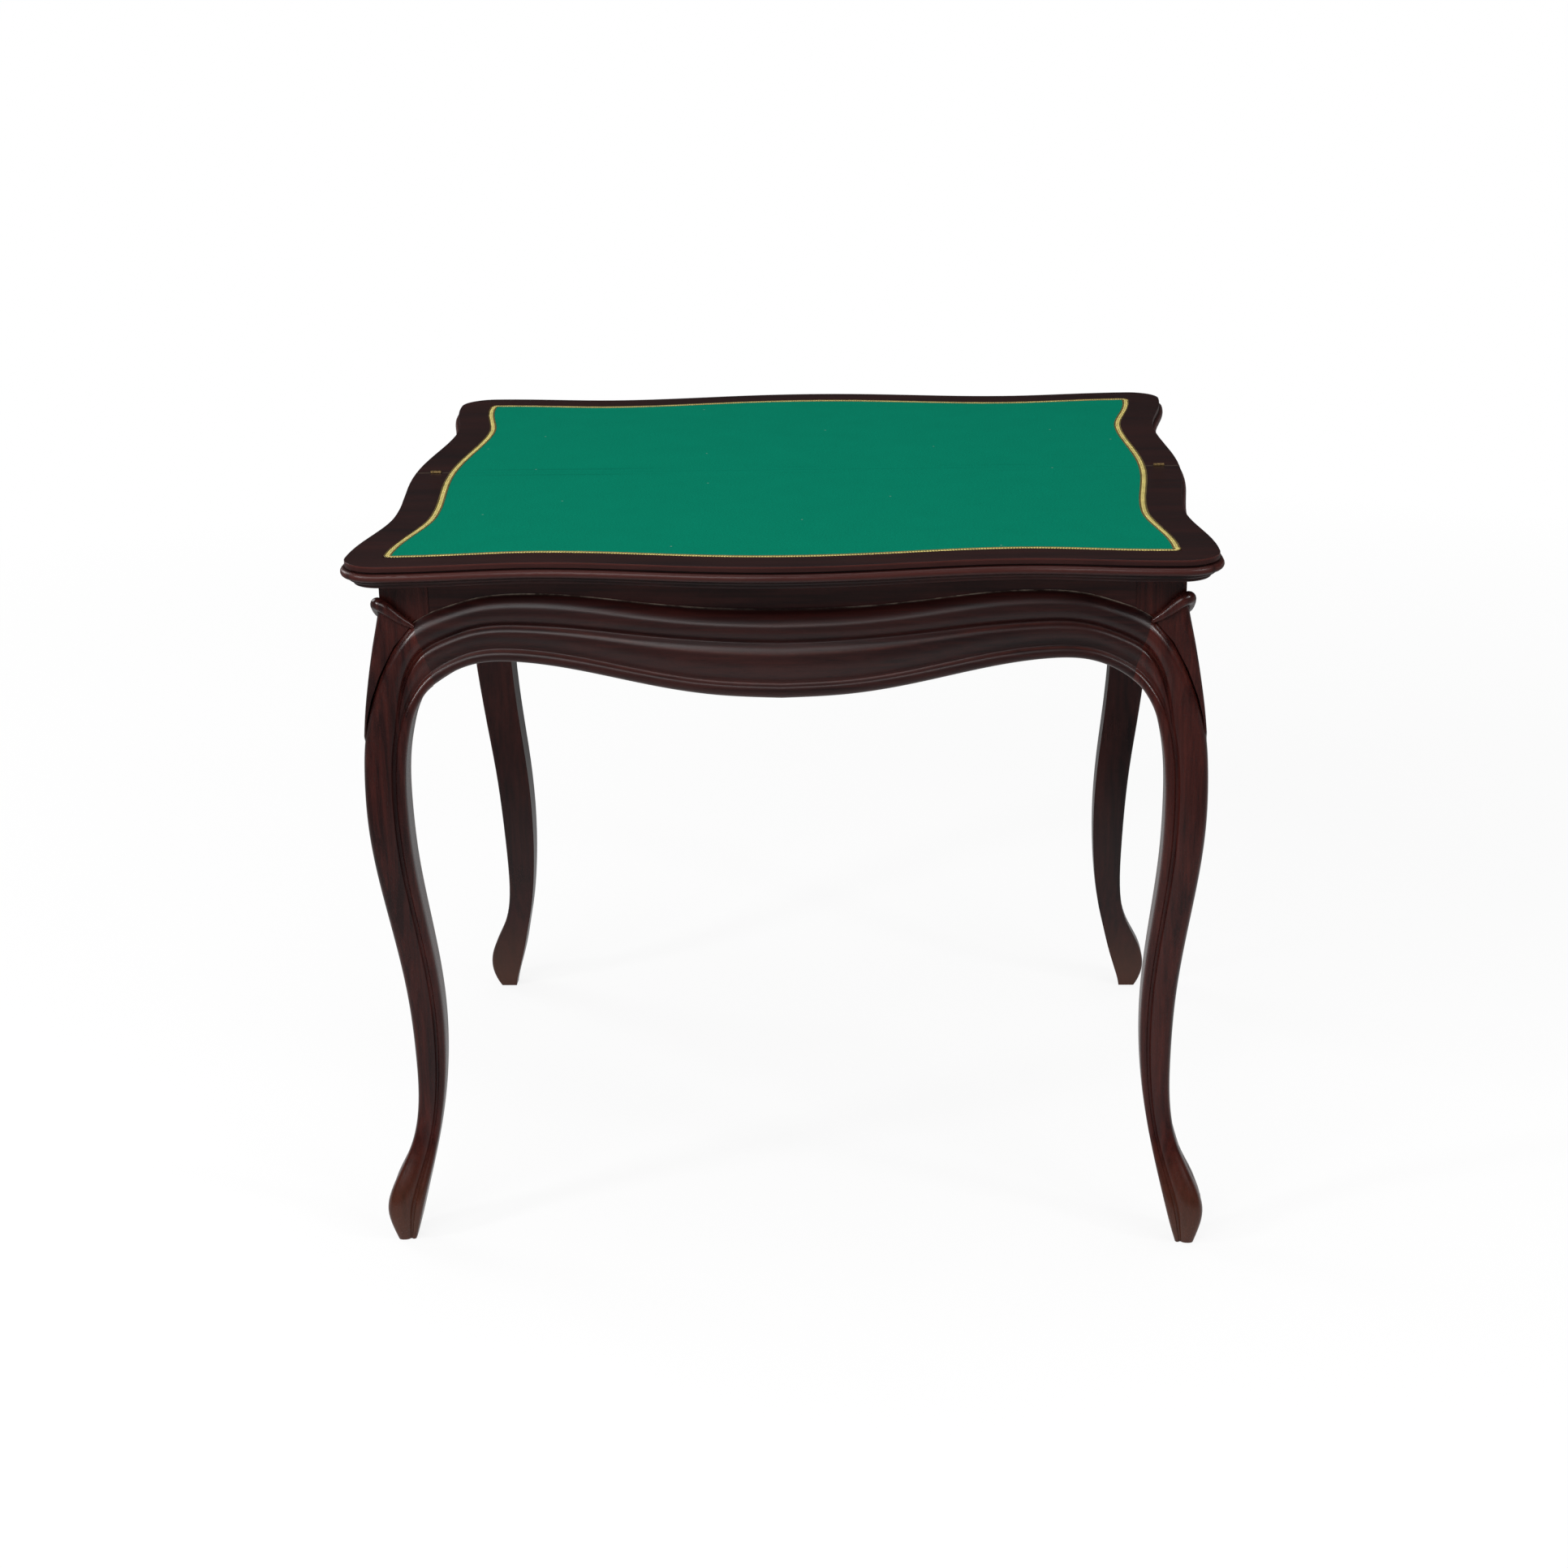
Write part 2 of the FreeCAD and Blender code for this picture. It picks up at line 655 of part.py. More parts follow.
hinge_axis = S.table_height + S.hinge_lift
LOWER_LEAF_TURN = Rotation(Vector(0, 1, 0), Vector(0, 0, 1), Vector(1, 0, 0), "ZXY")
UPPER_LEAF_TURN = Rotation(Vector(0, -1, 0), Vector(0, 0, -1), Vector(1, 0, 0), "ZXY")
lower_leaf_tools = []
upper_leaf_tools = []
lower_leaf_screws = []
upper_leaf_screws = []
leaf_pins = []
for hand, sign in (("left", -1), ("right", 1)):
    centre = (fold_half_width - S.leaf_hinge_inset) * sign
    start = centre - S.leaf_hinge_length / 2
    lower_spot = spot(start, 0, hinge_axis, LOWER_LEAF_TURN)
    upper_spot = spot(start, 0, hinge_axis, UPPER_LEAF_TURN)
    lower_name = hand + "_leaf_hinge_lower_plate"
    upper_name = hand + "_leaf_hinge_upper_plate"
    hinge_plate(lower_name, LEAF_HINGE, -1, False, lower_spot, lower_leaf_screws)
    hinge_plate(upper_name, LEAF_HINGE, 1, True, upper_spot, upper_leaf_screws)
    lower_leaf_tools.append(hinge_mortise(lower_name + "_mortise", LEAF_HINGE, -1, lower_spot))
    upper_leaf_tools.append(hinge_mortise(upper_name + "_mortise", LEAF_HINGE, 1, upper_spot))
    leaf_pins.append(hinge_pin(hand + "_leaf_pin", LEAF_HINGE, (start, 0, hinge_axis), LOWER_LEAF_TURN))
node("leaf_hinge_pins", gather("leaf_hinge_pins", leaf_pins))
node("lower_leaf_hinge_screws", copies("lower_leaf_hinge_screws", plate_screw(0), lower_leaf_screws))
node("upper_leaf_hinge_screws", copies("upper_leaf_hinge_screws", plate_screw(0), upper_leaf_screws))

# Glue blocks in the front corners, each with a screw up into the lower leaf

block_foot = frame_top - S.block_height
top_screw_length = S.block_height + S.top_screw_grip
top_screw_places = []
for hand, sign in (("left", -1), ("right", 1)):
    across = rail_inner - post_inner
    deep = apron_back - post_back
    corners = [(0, 0), (S.block_side, 0), (S.block_side, deep), (S.block_side + across, deep),
               (S.block_side + across, deep + S.block_side)]
    base = (post_inner - S.block_side, -apron_back, block_foot)
    if sign < 0:
        corners = [(0, deep), (across, deep), (across, 0), (across + S.block_side, 0), (0, deep + S.block_side)]
        base = (-rail_inner, -apron_back, block_foot)
    block = padded(hand + "_corner_block_body", corners, S.block_height, base)
    reach = S.block_side * BLOCK_SCREW_SHARE
    middle = spot((post_inner - reach) * sign, reach - apron_back, block_foot, Rotation())
    top_screw_places.append(middle)
    hole = copies(hand + "_corner_block_hole",
                  screw_shape(S.top_screw_radius.value, S.top_screw_head.value, top_screw_length.value,
                              S.screw_clearance.value), [middle])
    node(hand + "_corner_block", cut(hand + "_corner_block", block, [hole]))
    lower_leaf_tools.append(hole)
node("top_screws", copies("top_screws", screw_shape(
    S.top_screw_radius.value, S.top_screw_head.value, top_screw_length.value, 0), top_screw_places))

# The two leaves, with the baize, the braid and the stepped moulding under the lower one

leaf("lower_leaf", HALF_TURN, lower_leaf_tools)
leaf("upper_leaf", Rotation(), upper_leaf_tools)
inlay("lower", HALF_TURN)
inlay("upper", Rotation())
bed_inner = S.bed_inset + S.bed_step + S.bed_width
bed_upper = layer("bed_upper", S.bed_inset, frame_top - S.bed_upper_height, S.bed_upper_height, bed_inner)
bed_foot = frame_top - S.bed_upper_height - S.bed_lower_height
bed_lower = layer("bed_lower", S.bed_inset + S.bed_step, bed_foot, S.bed_lower_height, bed_inner)
bed_run = fuse("bed_run", [bed_upper, bed_lower])

# The moulding is mitred where it turns the ears, so it is three lengths
mitre_start = S.leaf_depth - S.ear_half_width
mitre_reach = S.ear_half_width + S.border_width
mitre_end = mitre_start + mitre_reach
bed_height = S.bed_upper_height + S.bed_lower_height
mitres = {
    "front": [(0, mitre_start), (mitre_reach, mitre_end), (-mitre_reach, mitre_end)],
    "left": [(0, mitre_start), (mitre_reach, mitre_start), (mitre_reach, mitre_end)],
    "right": [(0, mitre_start), (-mitre_reach, mitre_end), (-mitre_reach, mitre_start)],
}
for part, corners in mitres.items():
    wedge = padded(part + "_mitre", corners, bed_height, (0, 0, bed_foot))
    bed = doc.addObject("Part::MultiCommon", part + "_bed_moulding")
    bed.Shapes = [bed_run, wedge]
    bed.Placement = Placement(Vector(), HALF_TURN)
    node(part + "_bed_moulding", bed)

# Front frame: legs, apron, side rails and the cross rail between them

front_corner = (post_outer, front_face)
leg("front_left_leg", front_corner, (-1, -1), frame_top, [])
leg("front_right_leg", front_corner, (1, -1), frame_top, [])
node("front_apron", apron_board())
node("apron_moulding", apron_moulding())
cross_back = front_pivot - S.cross_rail_setback
node("cross_rail", board("cross_rail", (rail_inner * 2, S.rail_thickness, S.rail_height),
                         (-rail_inner, cross_back - S.rail_thickness, rail_foot)))

# Side rails: a fixed length behind each front post, then two half rails that fold inward between
# hinges on the inner face, the outer face and the front of the rear post

hinge_foot = rail_foot + (S.rail_height - S.rail_hinge_height) / 2
side_rail_end = front_pivot - S.pivot_clearance
half_rail_length = S.half_rail_span - S.pivot_clearance * 2
folding_height = S.rail_height - S.slide_gap
INWARD = {-1: Rotation(), 1: HALF_TURN}
OUTWARD = {-1: HALF_TURN, 1: Rotation()}
FORWARD = Rotation(Vector(0, 0, 1), -90)
frame_screws = []
rear_screws = []
front_pins = []
rear_pins = []
rear_post_tools = {}
for hand, sign in (("left", -1), ("right", 1)):
    low_x = -rail_outer if sign < 0 else rail_inner
    inner_axis = (rail_inner - S.pivot_clearance) * sign
    outer_axis = (rail_outer + S.pivot_clearance) * sign
    front_spot = spot(inner_axis, front_pivot, hinge_foot, INWARD[sign])
    middle_spot = spot(outer_axis, middle_pivot, hinge_foot, OUTWARD[sign])
    rear_spot = spot(inner_axis, rear_pivot, hinge_foot, INWARD[sign])
    post_spot = spot(inner_axis, rear_pivot, hinge_foot, FORWARD)
    front_rail_screws = []
    rear_rail_screws = []
    # Side of the hinge's own Y on which the wood in front of, and behind, each axis lies
    ahead = sign
    behind = -sign
    hinge_plate(hand + "_front_hinge_fixed_plate", RAIL_HINGE, ahead, False, front_spot, frame_screws)
    hinge_plate(hand + "_front_hinge_rail_plate", RAIL_HINGE, behind, True, front_spot, front_rail_screws)
    hinge_plate(hand + "_middle_hinge_front_plate", RAIL_HINGE, behind, False, middle_spot, front_rail_screws)
    hinge_plate(hand + "_middle_hinge_rear_plate", RAIL_HINGE, ahead, True, middle_spot, rear_rail_screws)
    hinge_plate(hand + "_rear_hinge_rail_plate", RAIL_HINGE, ahead, True, rear_spot, rear_rail_screws)
    hinge_plate(hand + "_rear_hinge_post_plate", RAIL_HINGE, behind, False, post_spot, rear_screws)
    cutters = {
        "fixed": hinge_mortise(hand + "_fixed_mortise", RAIL_HINGE, ahead, front_spot),
        "front_near": hinge_mortise(hand + "_front_near_mortise", RAIL_HINGE, behind, front_spot),
        "front_far": hinge_mortise(hand + "_front_far_mortise", RAIL_HINGE, behind, middle_spot),
        "rear_near": hinge_mortise(hand + "_rear_near_mortise", RAIL_HINGE, ahead, middle_spot),
        "rear_far": hinge_mortise(hand + "_rear_far_mortise", RAIL_HINGE, ahead, rear_spot),
    }
    rear_post_tools[sign] = [hinge_mortise(hand + "_post_mortise", RAIL_HINGE, behind, post_spot)]
    fixed = board(hand + "_side_rail_board", (S.rail_thickness, side_rail_end + post_back, S.rail_height),
                  (low_x, -post_back, rail_foot))
    front_half = board(hand + "_front_folding_board", (S.rail_thickness, half_rail_length, folding_height),
                       (low_x, front_pivot + S.pivot_clearance, rail_foot))
    rear_half = board(hand + "_rear_folding_board", (S.rail_thickness, half_rail_length, folding_height),
                      (low_x, middle_pivot + S.pivot_clearance, rail_foot))
    node(hand + "_side_rail", cut(hand + "_side_rail", fixed, [cutters["fixed"]]))
    node(hand + "_front_folding_rail", cut(hand + "_front_folding_rail", front_half,
                                           [cutters["front_near"], cutters["front_far"]]))
    node(hand + "_rear_folding_rail", cut(hand + "_rear_folding_rail", rear_half,
                                          [cutters["rear_near"], cutters["rear_far"]]))
    front_pins.append(hinge_pin(hand + "_front_pin", RAIL_HINGE, (inner_axis, front_pivot, hinge_foot)))
    rear_pins.append(hinge_pin(hand + "_rear_pin", RAIL_HINGE, (inner_axis, rear_pivot, hinge_foot)))
    node(hand + "_middle_hinge_pin", hinge_pin(hand + "_middle_pin", RAIL_HINGE,
                                               (outer_axis, middle_pivot, hinge_foot)))
    node(hand + "_front_rail_screws", copies(hand + "_front_rail_screws", plate_screw(0), front_rail_screws))
    node(hand + "_rear_rail_screws", copies(hand + "_rear_rail_screws", plate_screw(0), rear_rail_screws))
node("front_hinge_pins", gather("front_hinge_pins", front_pins))
node("rear_hinge_pins", gather("rear_hinge_pins", rear_pins))
node("side_rail_screws", copies("side_rail_screws", plate_screw(0), frame_screws))
node("rear_post_screws", copies("rear_post_screws", plate_screw(0), rear_screws))

# Rear frame: legs, back rail and small glue blocks

rear_corner = (rear_outer, rear_face)
leg("rear_left_leg", rear_corner, (-1, 1), sliding_top, rear_post_tools[-1])
leg("rear_right_leg", rear_corner, (1, 1), sliding_top, rear_post_tools[1])
node("rear_rail", board("rear_rail", (rear_inner * 2, S.rail_thickness, folding_height),
                        (-rear_inner, rear_rail_front, rail_foot)))
side = S.rear_block_side
for hand, sign in (("left", -1), ("right", 1)):
    corners = [(0, side), (0, 0), (side, side)] if sign < 0 else [(0, side), (side, 0), (side, side)]
    base_x = -rear_inner if sign < 0 else rear_inner - side
    node("rear_" + hand + "_block", padded("rear_" + hand + "_block_body", corners, S.block_height,
                                           (base_x, rear_rail_front - side, rail_foot)))

doc.recompute()
for item in doc.Objects:
    if "Invalid" in item.State or "Error" in item.State:
        raise RuntimeError(f"{item.Name} did not compute: {item.State}")
os.makedirs("parts", exist_ok=True)
for name, item in nodes.items():
    shape = item.Shape
    if shape.isNull() or not shape.isValid() or shape.Volume <= 0:
        raise RuntimeError(f"{name} has no valid solid")
    shape.exportStep(os.path.join("parts", name + ".step"))
    print(f"{name}: {len(shape.Solids)} solids, {shape.Volume:.1f} mm3")
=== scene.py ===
import json
import math

import bmesh
import bpy
import numpy as np
from bpy.props import FloatProperty, FloatVectorProperty, IntProperty, PointerProperty
from mathutils import Matrix, Vector


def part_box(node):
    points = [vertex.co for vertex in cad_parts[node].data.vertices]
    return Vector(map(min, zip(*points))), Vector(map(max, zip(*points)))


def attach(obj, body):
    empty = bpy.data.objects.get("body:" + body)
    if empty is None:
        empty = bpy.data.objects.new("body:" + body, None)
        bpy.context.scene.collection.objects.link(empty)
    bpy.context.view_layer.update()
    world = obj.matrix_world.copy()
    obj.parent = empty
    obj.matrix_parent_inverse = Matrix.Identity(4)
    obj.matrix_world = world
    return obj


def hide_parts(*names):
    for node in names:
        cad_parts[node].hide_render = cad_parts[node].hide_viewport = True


bl_info = {
    "name": "Folding Game Table",
    "version": (1, 0, 0),
    "blender": (4, 5, 0),
    "location": "View3D > Sidebar > Game Table",
    "description": "Carved wood, baize, braid and brass for the folding game table",
    "category": "Object",
}

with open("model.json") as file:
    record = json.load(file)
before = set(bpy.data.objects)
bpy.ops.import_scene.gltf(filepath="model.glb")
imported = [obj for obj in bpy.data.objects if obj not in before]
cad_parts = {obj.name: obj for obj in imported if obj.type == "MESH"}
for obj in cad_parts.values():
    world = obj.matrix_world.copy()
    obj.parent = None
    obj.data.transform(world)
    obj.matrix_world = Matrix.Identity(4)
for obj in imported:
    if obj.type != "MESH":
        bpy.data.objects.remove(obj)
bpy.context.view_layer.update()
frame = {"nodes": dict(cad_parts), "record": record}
NODES = frame["nodes"]
MM = 0.001

# Places of the lower leaf, in metres: underside, thickness, joint line of the edge and start of
# the ears
LEAF_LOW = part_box("lower_leaf")[0][2]
LEAF_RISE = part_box("lower_leaf")[1][2] - LEAF_LOW
EDGE_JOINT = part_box("lower_leaf")[1][0] - 0.0125
EAR_START = -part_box("lower_leaf")[0][1] - 0.028

# Places of the front, in millimetres: top of the frame, frieze, face of the front posts
FRAME_TOP = LEAF_LOW / MM
FRIEZE = -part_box("front_apron")[0][1] / MM
POST_FACE = FRIEZE + 1.2


# Sizes and colours that a user would change

def length_setting(label, meaning, value):
    return FloatProperty(
        name=label, description=meaning, default=value, unit="LENGTH", precision=4)


def colour_setting(label, meaning, value):
    return FloatVectorProperty(
        name=label, description=meaning, default=value, subtype="COLOR", min=0, max=1)


class TableSizes(bpy.types.PropertyGroup):
    carving_stations: IntProperty(
        name="Carving stations", description="Sections along half of the carved front",
        default=230, min=60)
    lip_radius: length_setting(
        "Lip radius", "Thickest half width of the lip at the knee", 0.0068)
    cloth_spacing: length_setting(
        "Cloth spacing", "Mesh spacing of the baize", 0.006)
    braid_pitch: length_setting(
        "Braid pitch", "Distance between the plaits of the gilt braid", 0.0029)
    braid_grain: length_setting(
        "Plait length", "Length of one plait of the gilt braid", 0.0037)


class TableColours(bpy.types.PropertyGroup):
    wood_dark: colour_setting(
        "Dark wood", "Darkest tone of the mahogany", (0.0048, 0.0019, 0.0023))
    wood_red: colour_setting(
        "Red wood", "Reddish tone of the mahogany", (0.064, 0.0120, 0.0085))
    inner_wood: colour_setting(
        "Inner wood", "Unpolished wood inside the frame", (0.235, 0.125, 0.060))
    baize: colour_setting(
        "Baize", "Green of the playing surface", (0.0012, 0.137, 0.081))
    gilt: colour_setting(
        "Gilt", "Gold of the braid", (0.71, 0.59, 0.18))
    olive: colour_setting(
        "Olive", "Dull edge of the braid", (0.15, 0.108, 0.027))
    brass: colour_setting(
        "Brass", "Aged brass of the hinges", (0.22, 0.145, 0.062))
    steel: colour_setting(
        "Steel", "Dark steel of the screws", (0.19, 0.18, 0.17))
    floor: colour_setting(
        "Floor", "Pale studio floor", (0.90, 0.90, 0.90))


# Colours of small marks in the finishes
WHITE = (1, 1, 1)
PORE = (0.003, 0.0015, 0.0013)
RUBBED_RED = (0.085, 0.020, 0.013)
OLD_DUST = (0.42, 0.35, 0.28)
# Red of a leaf's edge: its redder wood, and painted light on its mouldings
LIT_RIM_RED = (0.066, 0.012, 0.0085)
# Dark of the joint lines at the ears, also used for painted shade along the fold
JOINT_DARK_AND_FOLD_SHADE = (0.0012, 0.0008, 0.0008)
RUBBED_FOLD = (0.10, 0.062, 0.045)
SCUFF = (0.085, 0.032, 0.017)
LINT = (0.45, 0.52, 0.47)
PILE_SHEEN = (0.05, 0.75, 0.5)


def sizes():
    return bpy.context.scene.table_sizes


def colours():
    return bpy.context.scene.table_colours


def shaded(tone, share):
    """A colour made darker or lighter."""
    return tuple(min(value * share, 1) for value in tone)


# Node maths

class Wire:
    """A node socket that takes part in arithmetic: an operator adds the Math node that it needs."""

    def __init__(self, tree, socket=None):
        self.tree = tree
        self.socket = socket

    def add(self, kind, settings=None, sockets=None, out=0):
        """Adds any node, sets its settings and stops, then its sockets, and returns one output.
        A list of wires goes into one socket."""
        node = self.tree.nodes.new(kind)
        for name, value in (settings or {}).items():
            if name == "stops":
                ramp = node.color_ramp
                while len(ramp.elements) < len(value):
                    ramp.elements.new(1)
                for element, (place, tone) in zip(ramp.elements, value):
                    element.position = place
                    element.color = (tone, tone, tone, 1)
            else:
                setattr(node, name, value)
        for key, value in (sockets or {}).items():
            socket = node.inputs[key]
            if isinstance(value, list):
                for wire in value:
                    self.tree.links.new(wire.socket, socket)
            elif isinstance(value, Wire):
                self.tree.links.new(value.socket, socket)
            elif socket.type == "RGBA":
                socket.default_value = (*value[:3], 1)
            else:
                socket.default_value = value
        return Wire(self.tree, node.outputs[out] if node.outputs else None)

    def maths(self, operation, *values):
        return self.add("ShaderNodeMath", {"operation": operation}, dict(enumerate(values)))

    def __add__(self, other):
        return self.maths("ADD", self, other)

    def __radd__(self, other):
        return self.maths("ADD", other, self)

    def __sub__(self, other):
        return self.maths("SUBTRACT", self, other)

    def __rsub__(self, other):
        return self.maths("SUBTRACT", other, self)

    def __mul__(self, other):
        return self.maths("MULTIPLY", self, other)

    def __rmul__(self, other):
        return self.maths("MULTIPLY", other, self)

    def __truediv__(self, other):
        return self.maths("DIVIDE", self, other)

    def __rtruediv__(self, other):
        return self.maths("DIVIDE", other, self)

    def __pow__(self, other):
        return self.maths("POWER", self, other)

    def __rpow__(self, other):
        return self.maths("POWER", other, self)

    def __abs__(self):
        return self.maths("ABSOLUTE", self)

    def tint(self, first, second):
        """Colour between two, this wire giving the share of the second."""
        return self.add(
            "ShaderNodeMix", {"data_type": "RGBA"}, {0: self, 6: first, 7: second}, out=2)

    def ramp(self, *stops):
        return self.add("ShaderNodeValToRGB", {"stops": stops}, {0: self})

    def bump(self, strength, distance, under=None):
        sockets = {"Strength": strength, "Distance": distance, "Height": self}
        if under is not None:
            sockets["Normal"] = under
        return self.add("ShaderNodeBump", None, sockets)


# Finishes

def material(name):
    """A new material and the wire that starts its tree."""
    made = bpy.data.materials.new(name)
    made.use_nodes = True
    made.node_tree.nodes.clear()
    return made, Wire(made.node_tree)


def finish(name, maker):
    """A material by name, made the first time it is asked for."""
    return bpy.data.materials.get(name) or maker(name)


def surface(made, start, sockets):
    shader = start.add("ShaderNodeBsdfPrincipled", None, sockets)
    start.add("ShaderNodeOutputMaterial", None, {"Surface": shader})
    return made


def stretched(start, scale):
    """Object coordinates, in metres, scaled along each axis."""
    here = start.add("ShaderNodeTexCoord", out="Object")
    return start.add("ShaderNodeMapping", None, {"Vector": here, "Scale": scale})


def place_on(start, axis):
    """Object coordinate along one axis, in metres."""
    here = start.add("ShaderNodeTexCoord", out="Object")
    return start.add("ShaderNodeSeparateXYZ", None, {0: here}, out=axis)


def noise(start, vector, scale, detail, roughness):
    return start.add("ShaderNodeTexNoise", None, {
        "Vector": vector, "Scale": scale, "Detail": detail, "Roughness": roughness})


def grain(start, along, length, width, detail, roughness):
    """Noise drawn out along one axis, its scale given along and across."""
    scale = tuple(length if axis == along else width for axis in "XYZ")
    return noise(start, stretched(start, scale), 1.0, detail, roughness)


# Redness of a leaf's edge, from its underside to its top: lower moulding, hollow, upper band.
# Partly the edge's redder wood, partly painted light: redder and lighter on the roll and the top
# arris, which face the light, and painted shade in the hollow
RIM_RED_AND_LIGHT_STOPS = (
    (0.0, 0.1), (0.30, 0.9), (0.50, 0.7), (0.54, 0.0), (0.62, 0.0), (0.66, 0.30), (0.88, 0.40),
    (0.92, 1.0), (0.985, 1.0), (0.998, 0.0),
)
# Distance of the baize's creases from the fold, in metres
CREASE_PLACE = 0.0135


def worn_carving(start, colour, gloss):
    """Rubbed edges and lines of old dust, where the piece's own points carry them."""
    wear = start.add("ShaderNodeAttribute", {"attribute_name": "wear"}, out="Fac")
    rub = start.add("ShaderNodeAttribute", {"attribute_name": "rub"}, out="Fac")
    patch = noise(start, stretched(start, (60, 60, 60)), 1.0, 4.0, 0.7)
    glow = rub * patch.ramp((0.35, 0.25), (0.6, 1.0))
    colour = glow.tint(colour, RUBBED_RED)
    dust = wear * patch.ramp((0.40, 0.12), (0.6, 1.0))
    return (dust * 0.85).tint(colour, OLD_DUST), gloss + dust * 0.4


def leaf_edge(start, colour, cloud):
    """Redder edge of a leaf with painted light on its mouldings, painted shade and rubbing at the
    fold, and the joint line at each ear.
    """
    rise = (place_on(start, "Z") - LEAF_LOW) / LEAF_RISE
    # The edge's redder wood with painted light: redder on the roll and the top arris, painted shade
    # in the hollow
    rim_red_and_light = rise.ramp(*RIM_RED_AND_LIGHT_STOPS) * (0.45 + cloud * 0.6)
    colour = rim_red_and_light.tint(colour, LIT_RIM_RED)
    # Painted shade: a dark band along the fold, where the leaves meet
    fold = abs(place_on(start, "Y"))
    fold_shade = fold.ramp((0.0, 1.0), (0.0045, 0.0))
    colour = (fold_shade * 0.9).tint(colour, JOINT_DARK_AND_FOLD_SHADE)
    across = abs(place_on(start, "X"))
    joint = abs(across - EDGE_JOINT).ramp((0.0003, 1.0), (0.0008, 0.0))
    joint = joint * fold.ramp((EAR_START, 0.0), (EAR_START + 0.004, 1.0))
    joint = joint * rise.ramp((0.56, 1.0), (0.60, 0.0))
    colour = (joint * 0.9).tint(colour, JOINT_DARK_AND_FOLD_SHADE)
    rubbed = fold.ramp((0.0007, 1.0), (0.0013, 0.0)) * (0.3 + cloud * 0.5)
    return rubbed.tint(colour, RUBBED_FOLD)


def scuffed_foot(start, colour, cloud):
    scuff = (place_on(start, "Z") + cloud * 0.05).ramp((0.045, 1.0), (0.13, 0.0))
    return (scuff * 0.55).tint(colour, SCUFF)


def mahogany(name, along, red, worn=False, foot=False, edged=False, polish=0.20):
    """Dark polished mahogany: streaked figure, fine pores and a soft, slightly uneven polish."""
    tone = colours()
    made, start = material(name)
    figure = grain(start, along, 2.2, 17, 7.0, 0.62)
    streak = grain(start, along, 7, 190, 5.0, 0.6)
    pores = grain(start, along, 70, 1500, 2.0, 0.5)
    cloud = noise(start, stretched(start, (5, 5, 5)), 1.0, 3.0, 0.5)
    share = (figure * 0.55 + streak * 0.45).ramp((0.40, 0.0), (0.60, 1.0))
    share = share * (red * 0.9) + cloud * (red * 0.4)
    colour = share.tint(tone.wood_dark, tone.wood_red)
    pits = pores.ramp((0.30, 1.0), (0.40, 0.0))
    colour = (pits * 0.6).tint(colour, PORE)
    gloss = polish + cloud * 0.16 + streak * 0.06 + pits * 0.1
    if worn:
        colour, gloss = worn_carving(start, colour, gloss)
    if edged:
        colour = leaf_edge(start, colour, cloud)
    if foot:
        colour = scuffed_foot(start, colour, cloud)
    height = pores * 0.5 + streak * 0.5
    normal = height.bump(0.05, 0.0004, figure.bump(0.05, 0.004))
    return surface(made, start, {
        "Base Color": colour, "Roughness": gloss, "Normal": normal, "Specular IOR Level": 0.32})


def plain_wood(name, along):
    """Planed, unpolished wood of the hidden frame."""
    tone = colours().inner_wood
    made, start = material(name)
    figure = grain(start, along, 3, 40, 6.0, 0.6)
    fibre = grain(start, along, 30, 700, 3.0, 0.6)
    share = (figure * 0.7 + fibre * 0.3).ramp((0.35, 0.0), (0.65, 1.0))
    return surface(made, start, {
        "Base Color": share.tint(shaded(tone, 0.55), tone), "Roughness": 0.62 + fibre * 0.2,
        "Normal": fibre.bump(0.25, 0.0006)})


def baize_cloth(name):
    """Napped wool cloth: felted fibres, mottled pile, painted shade along faint creases by the
    fold, a little lint.
    """
    tone = colours().baize
    made, start = material(name)
    here = stretched(start, (1, 1, 1))
    fibre = noise(start, here, 2600, 3.0, 0.7)
    felt = noise(start, stretched(start, (1, 1.4, 1)), 620, 4.0, 0.65)
    mottle = noise(start, here, 24, 4.0, 0.6)
    # Painted shade along faint creases beside the fold
    from_crease = ((abs(place_on(start, "Y")) - CREASE_PLACE) / 0.0016) ** 2
    patch = noise(start, here, 5.5, 2.0, 0.5).ramp((0.47, 0.0), (0.62, 1.0))
    crease = patch / (from_crease + 1)
    share = (fibre * 0.36 + felt * 0.59 + mottle * 0.05).ramp((0.34, 0.0), (0.66, 1.0))
    colour = (share - crease * 0.24).tint(shaded(tone, 0.6), shaded(tone, 1.4))
    spot = start.add(
        "ShaderNodeTexVoronoi", {"voronoi_dimensions": "2D"}, {"Vector": here, "Scale": 5.5})
    lint = spot.ramp((0.002, 1.0), (0.005, 0.0))
    colour = (lint * 0.5).tint(colour, LINT)
    normal = (fibre * 0.6 + felt * 0.8).bump(0.45, 0.0006, mottle.bump(0.12, 0.002))
    return surface(made, start, {
        "Base Color": colour, "Roughness": 0.9 + felt * 0.08, "Normal": normal,
        "Specular IOR Level": 0.0, "Sheen Weight": 0.06, "Sheen Roughness": 0.5,
        "Sheen Tint": PILE_SHEEN})


def thread(name, light, dark, metal):
    """Gilt or dulled thread with uneven lustre."""
    made, start = material(name)
    here = stretched(start, (1, 1, 1))
    twist = noise(start, here, 2200, 2.0, 0.6)
    age = noise(start, here, 55, 4.0, 0.6)
    share = (twist * 0.5 + age * 0.5).ramp((0.36, 0.0), (0.62, 1.0))
    return surface(made, start, {
        "Base Color": share.tint(dark, light), "Metallic": metal,
        "Roughness": 0.56 - share * 0.2, "Normal": twist.bump(0.35, 0.0003)})


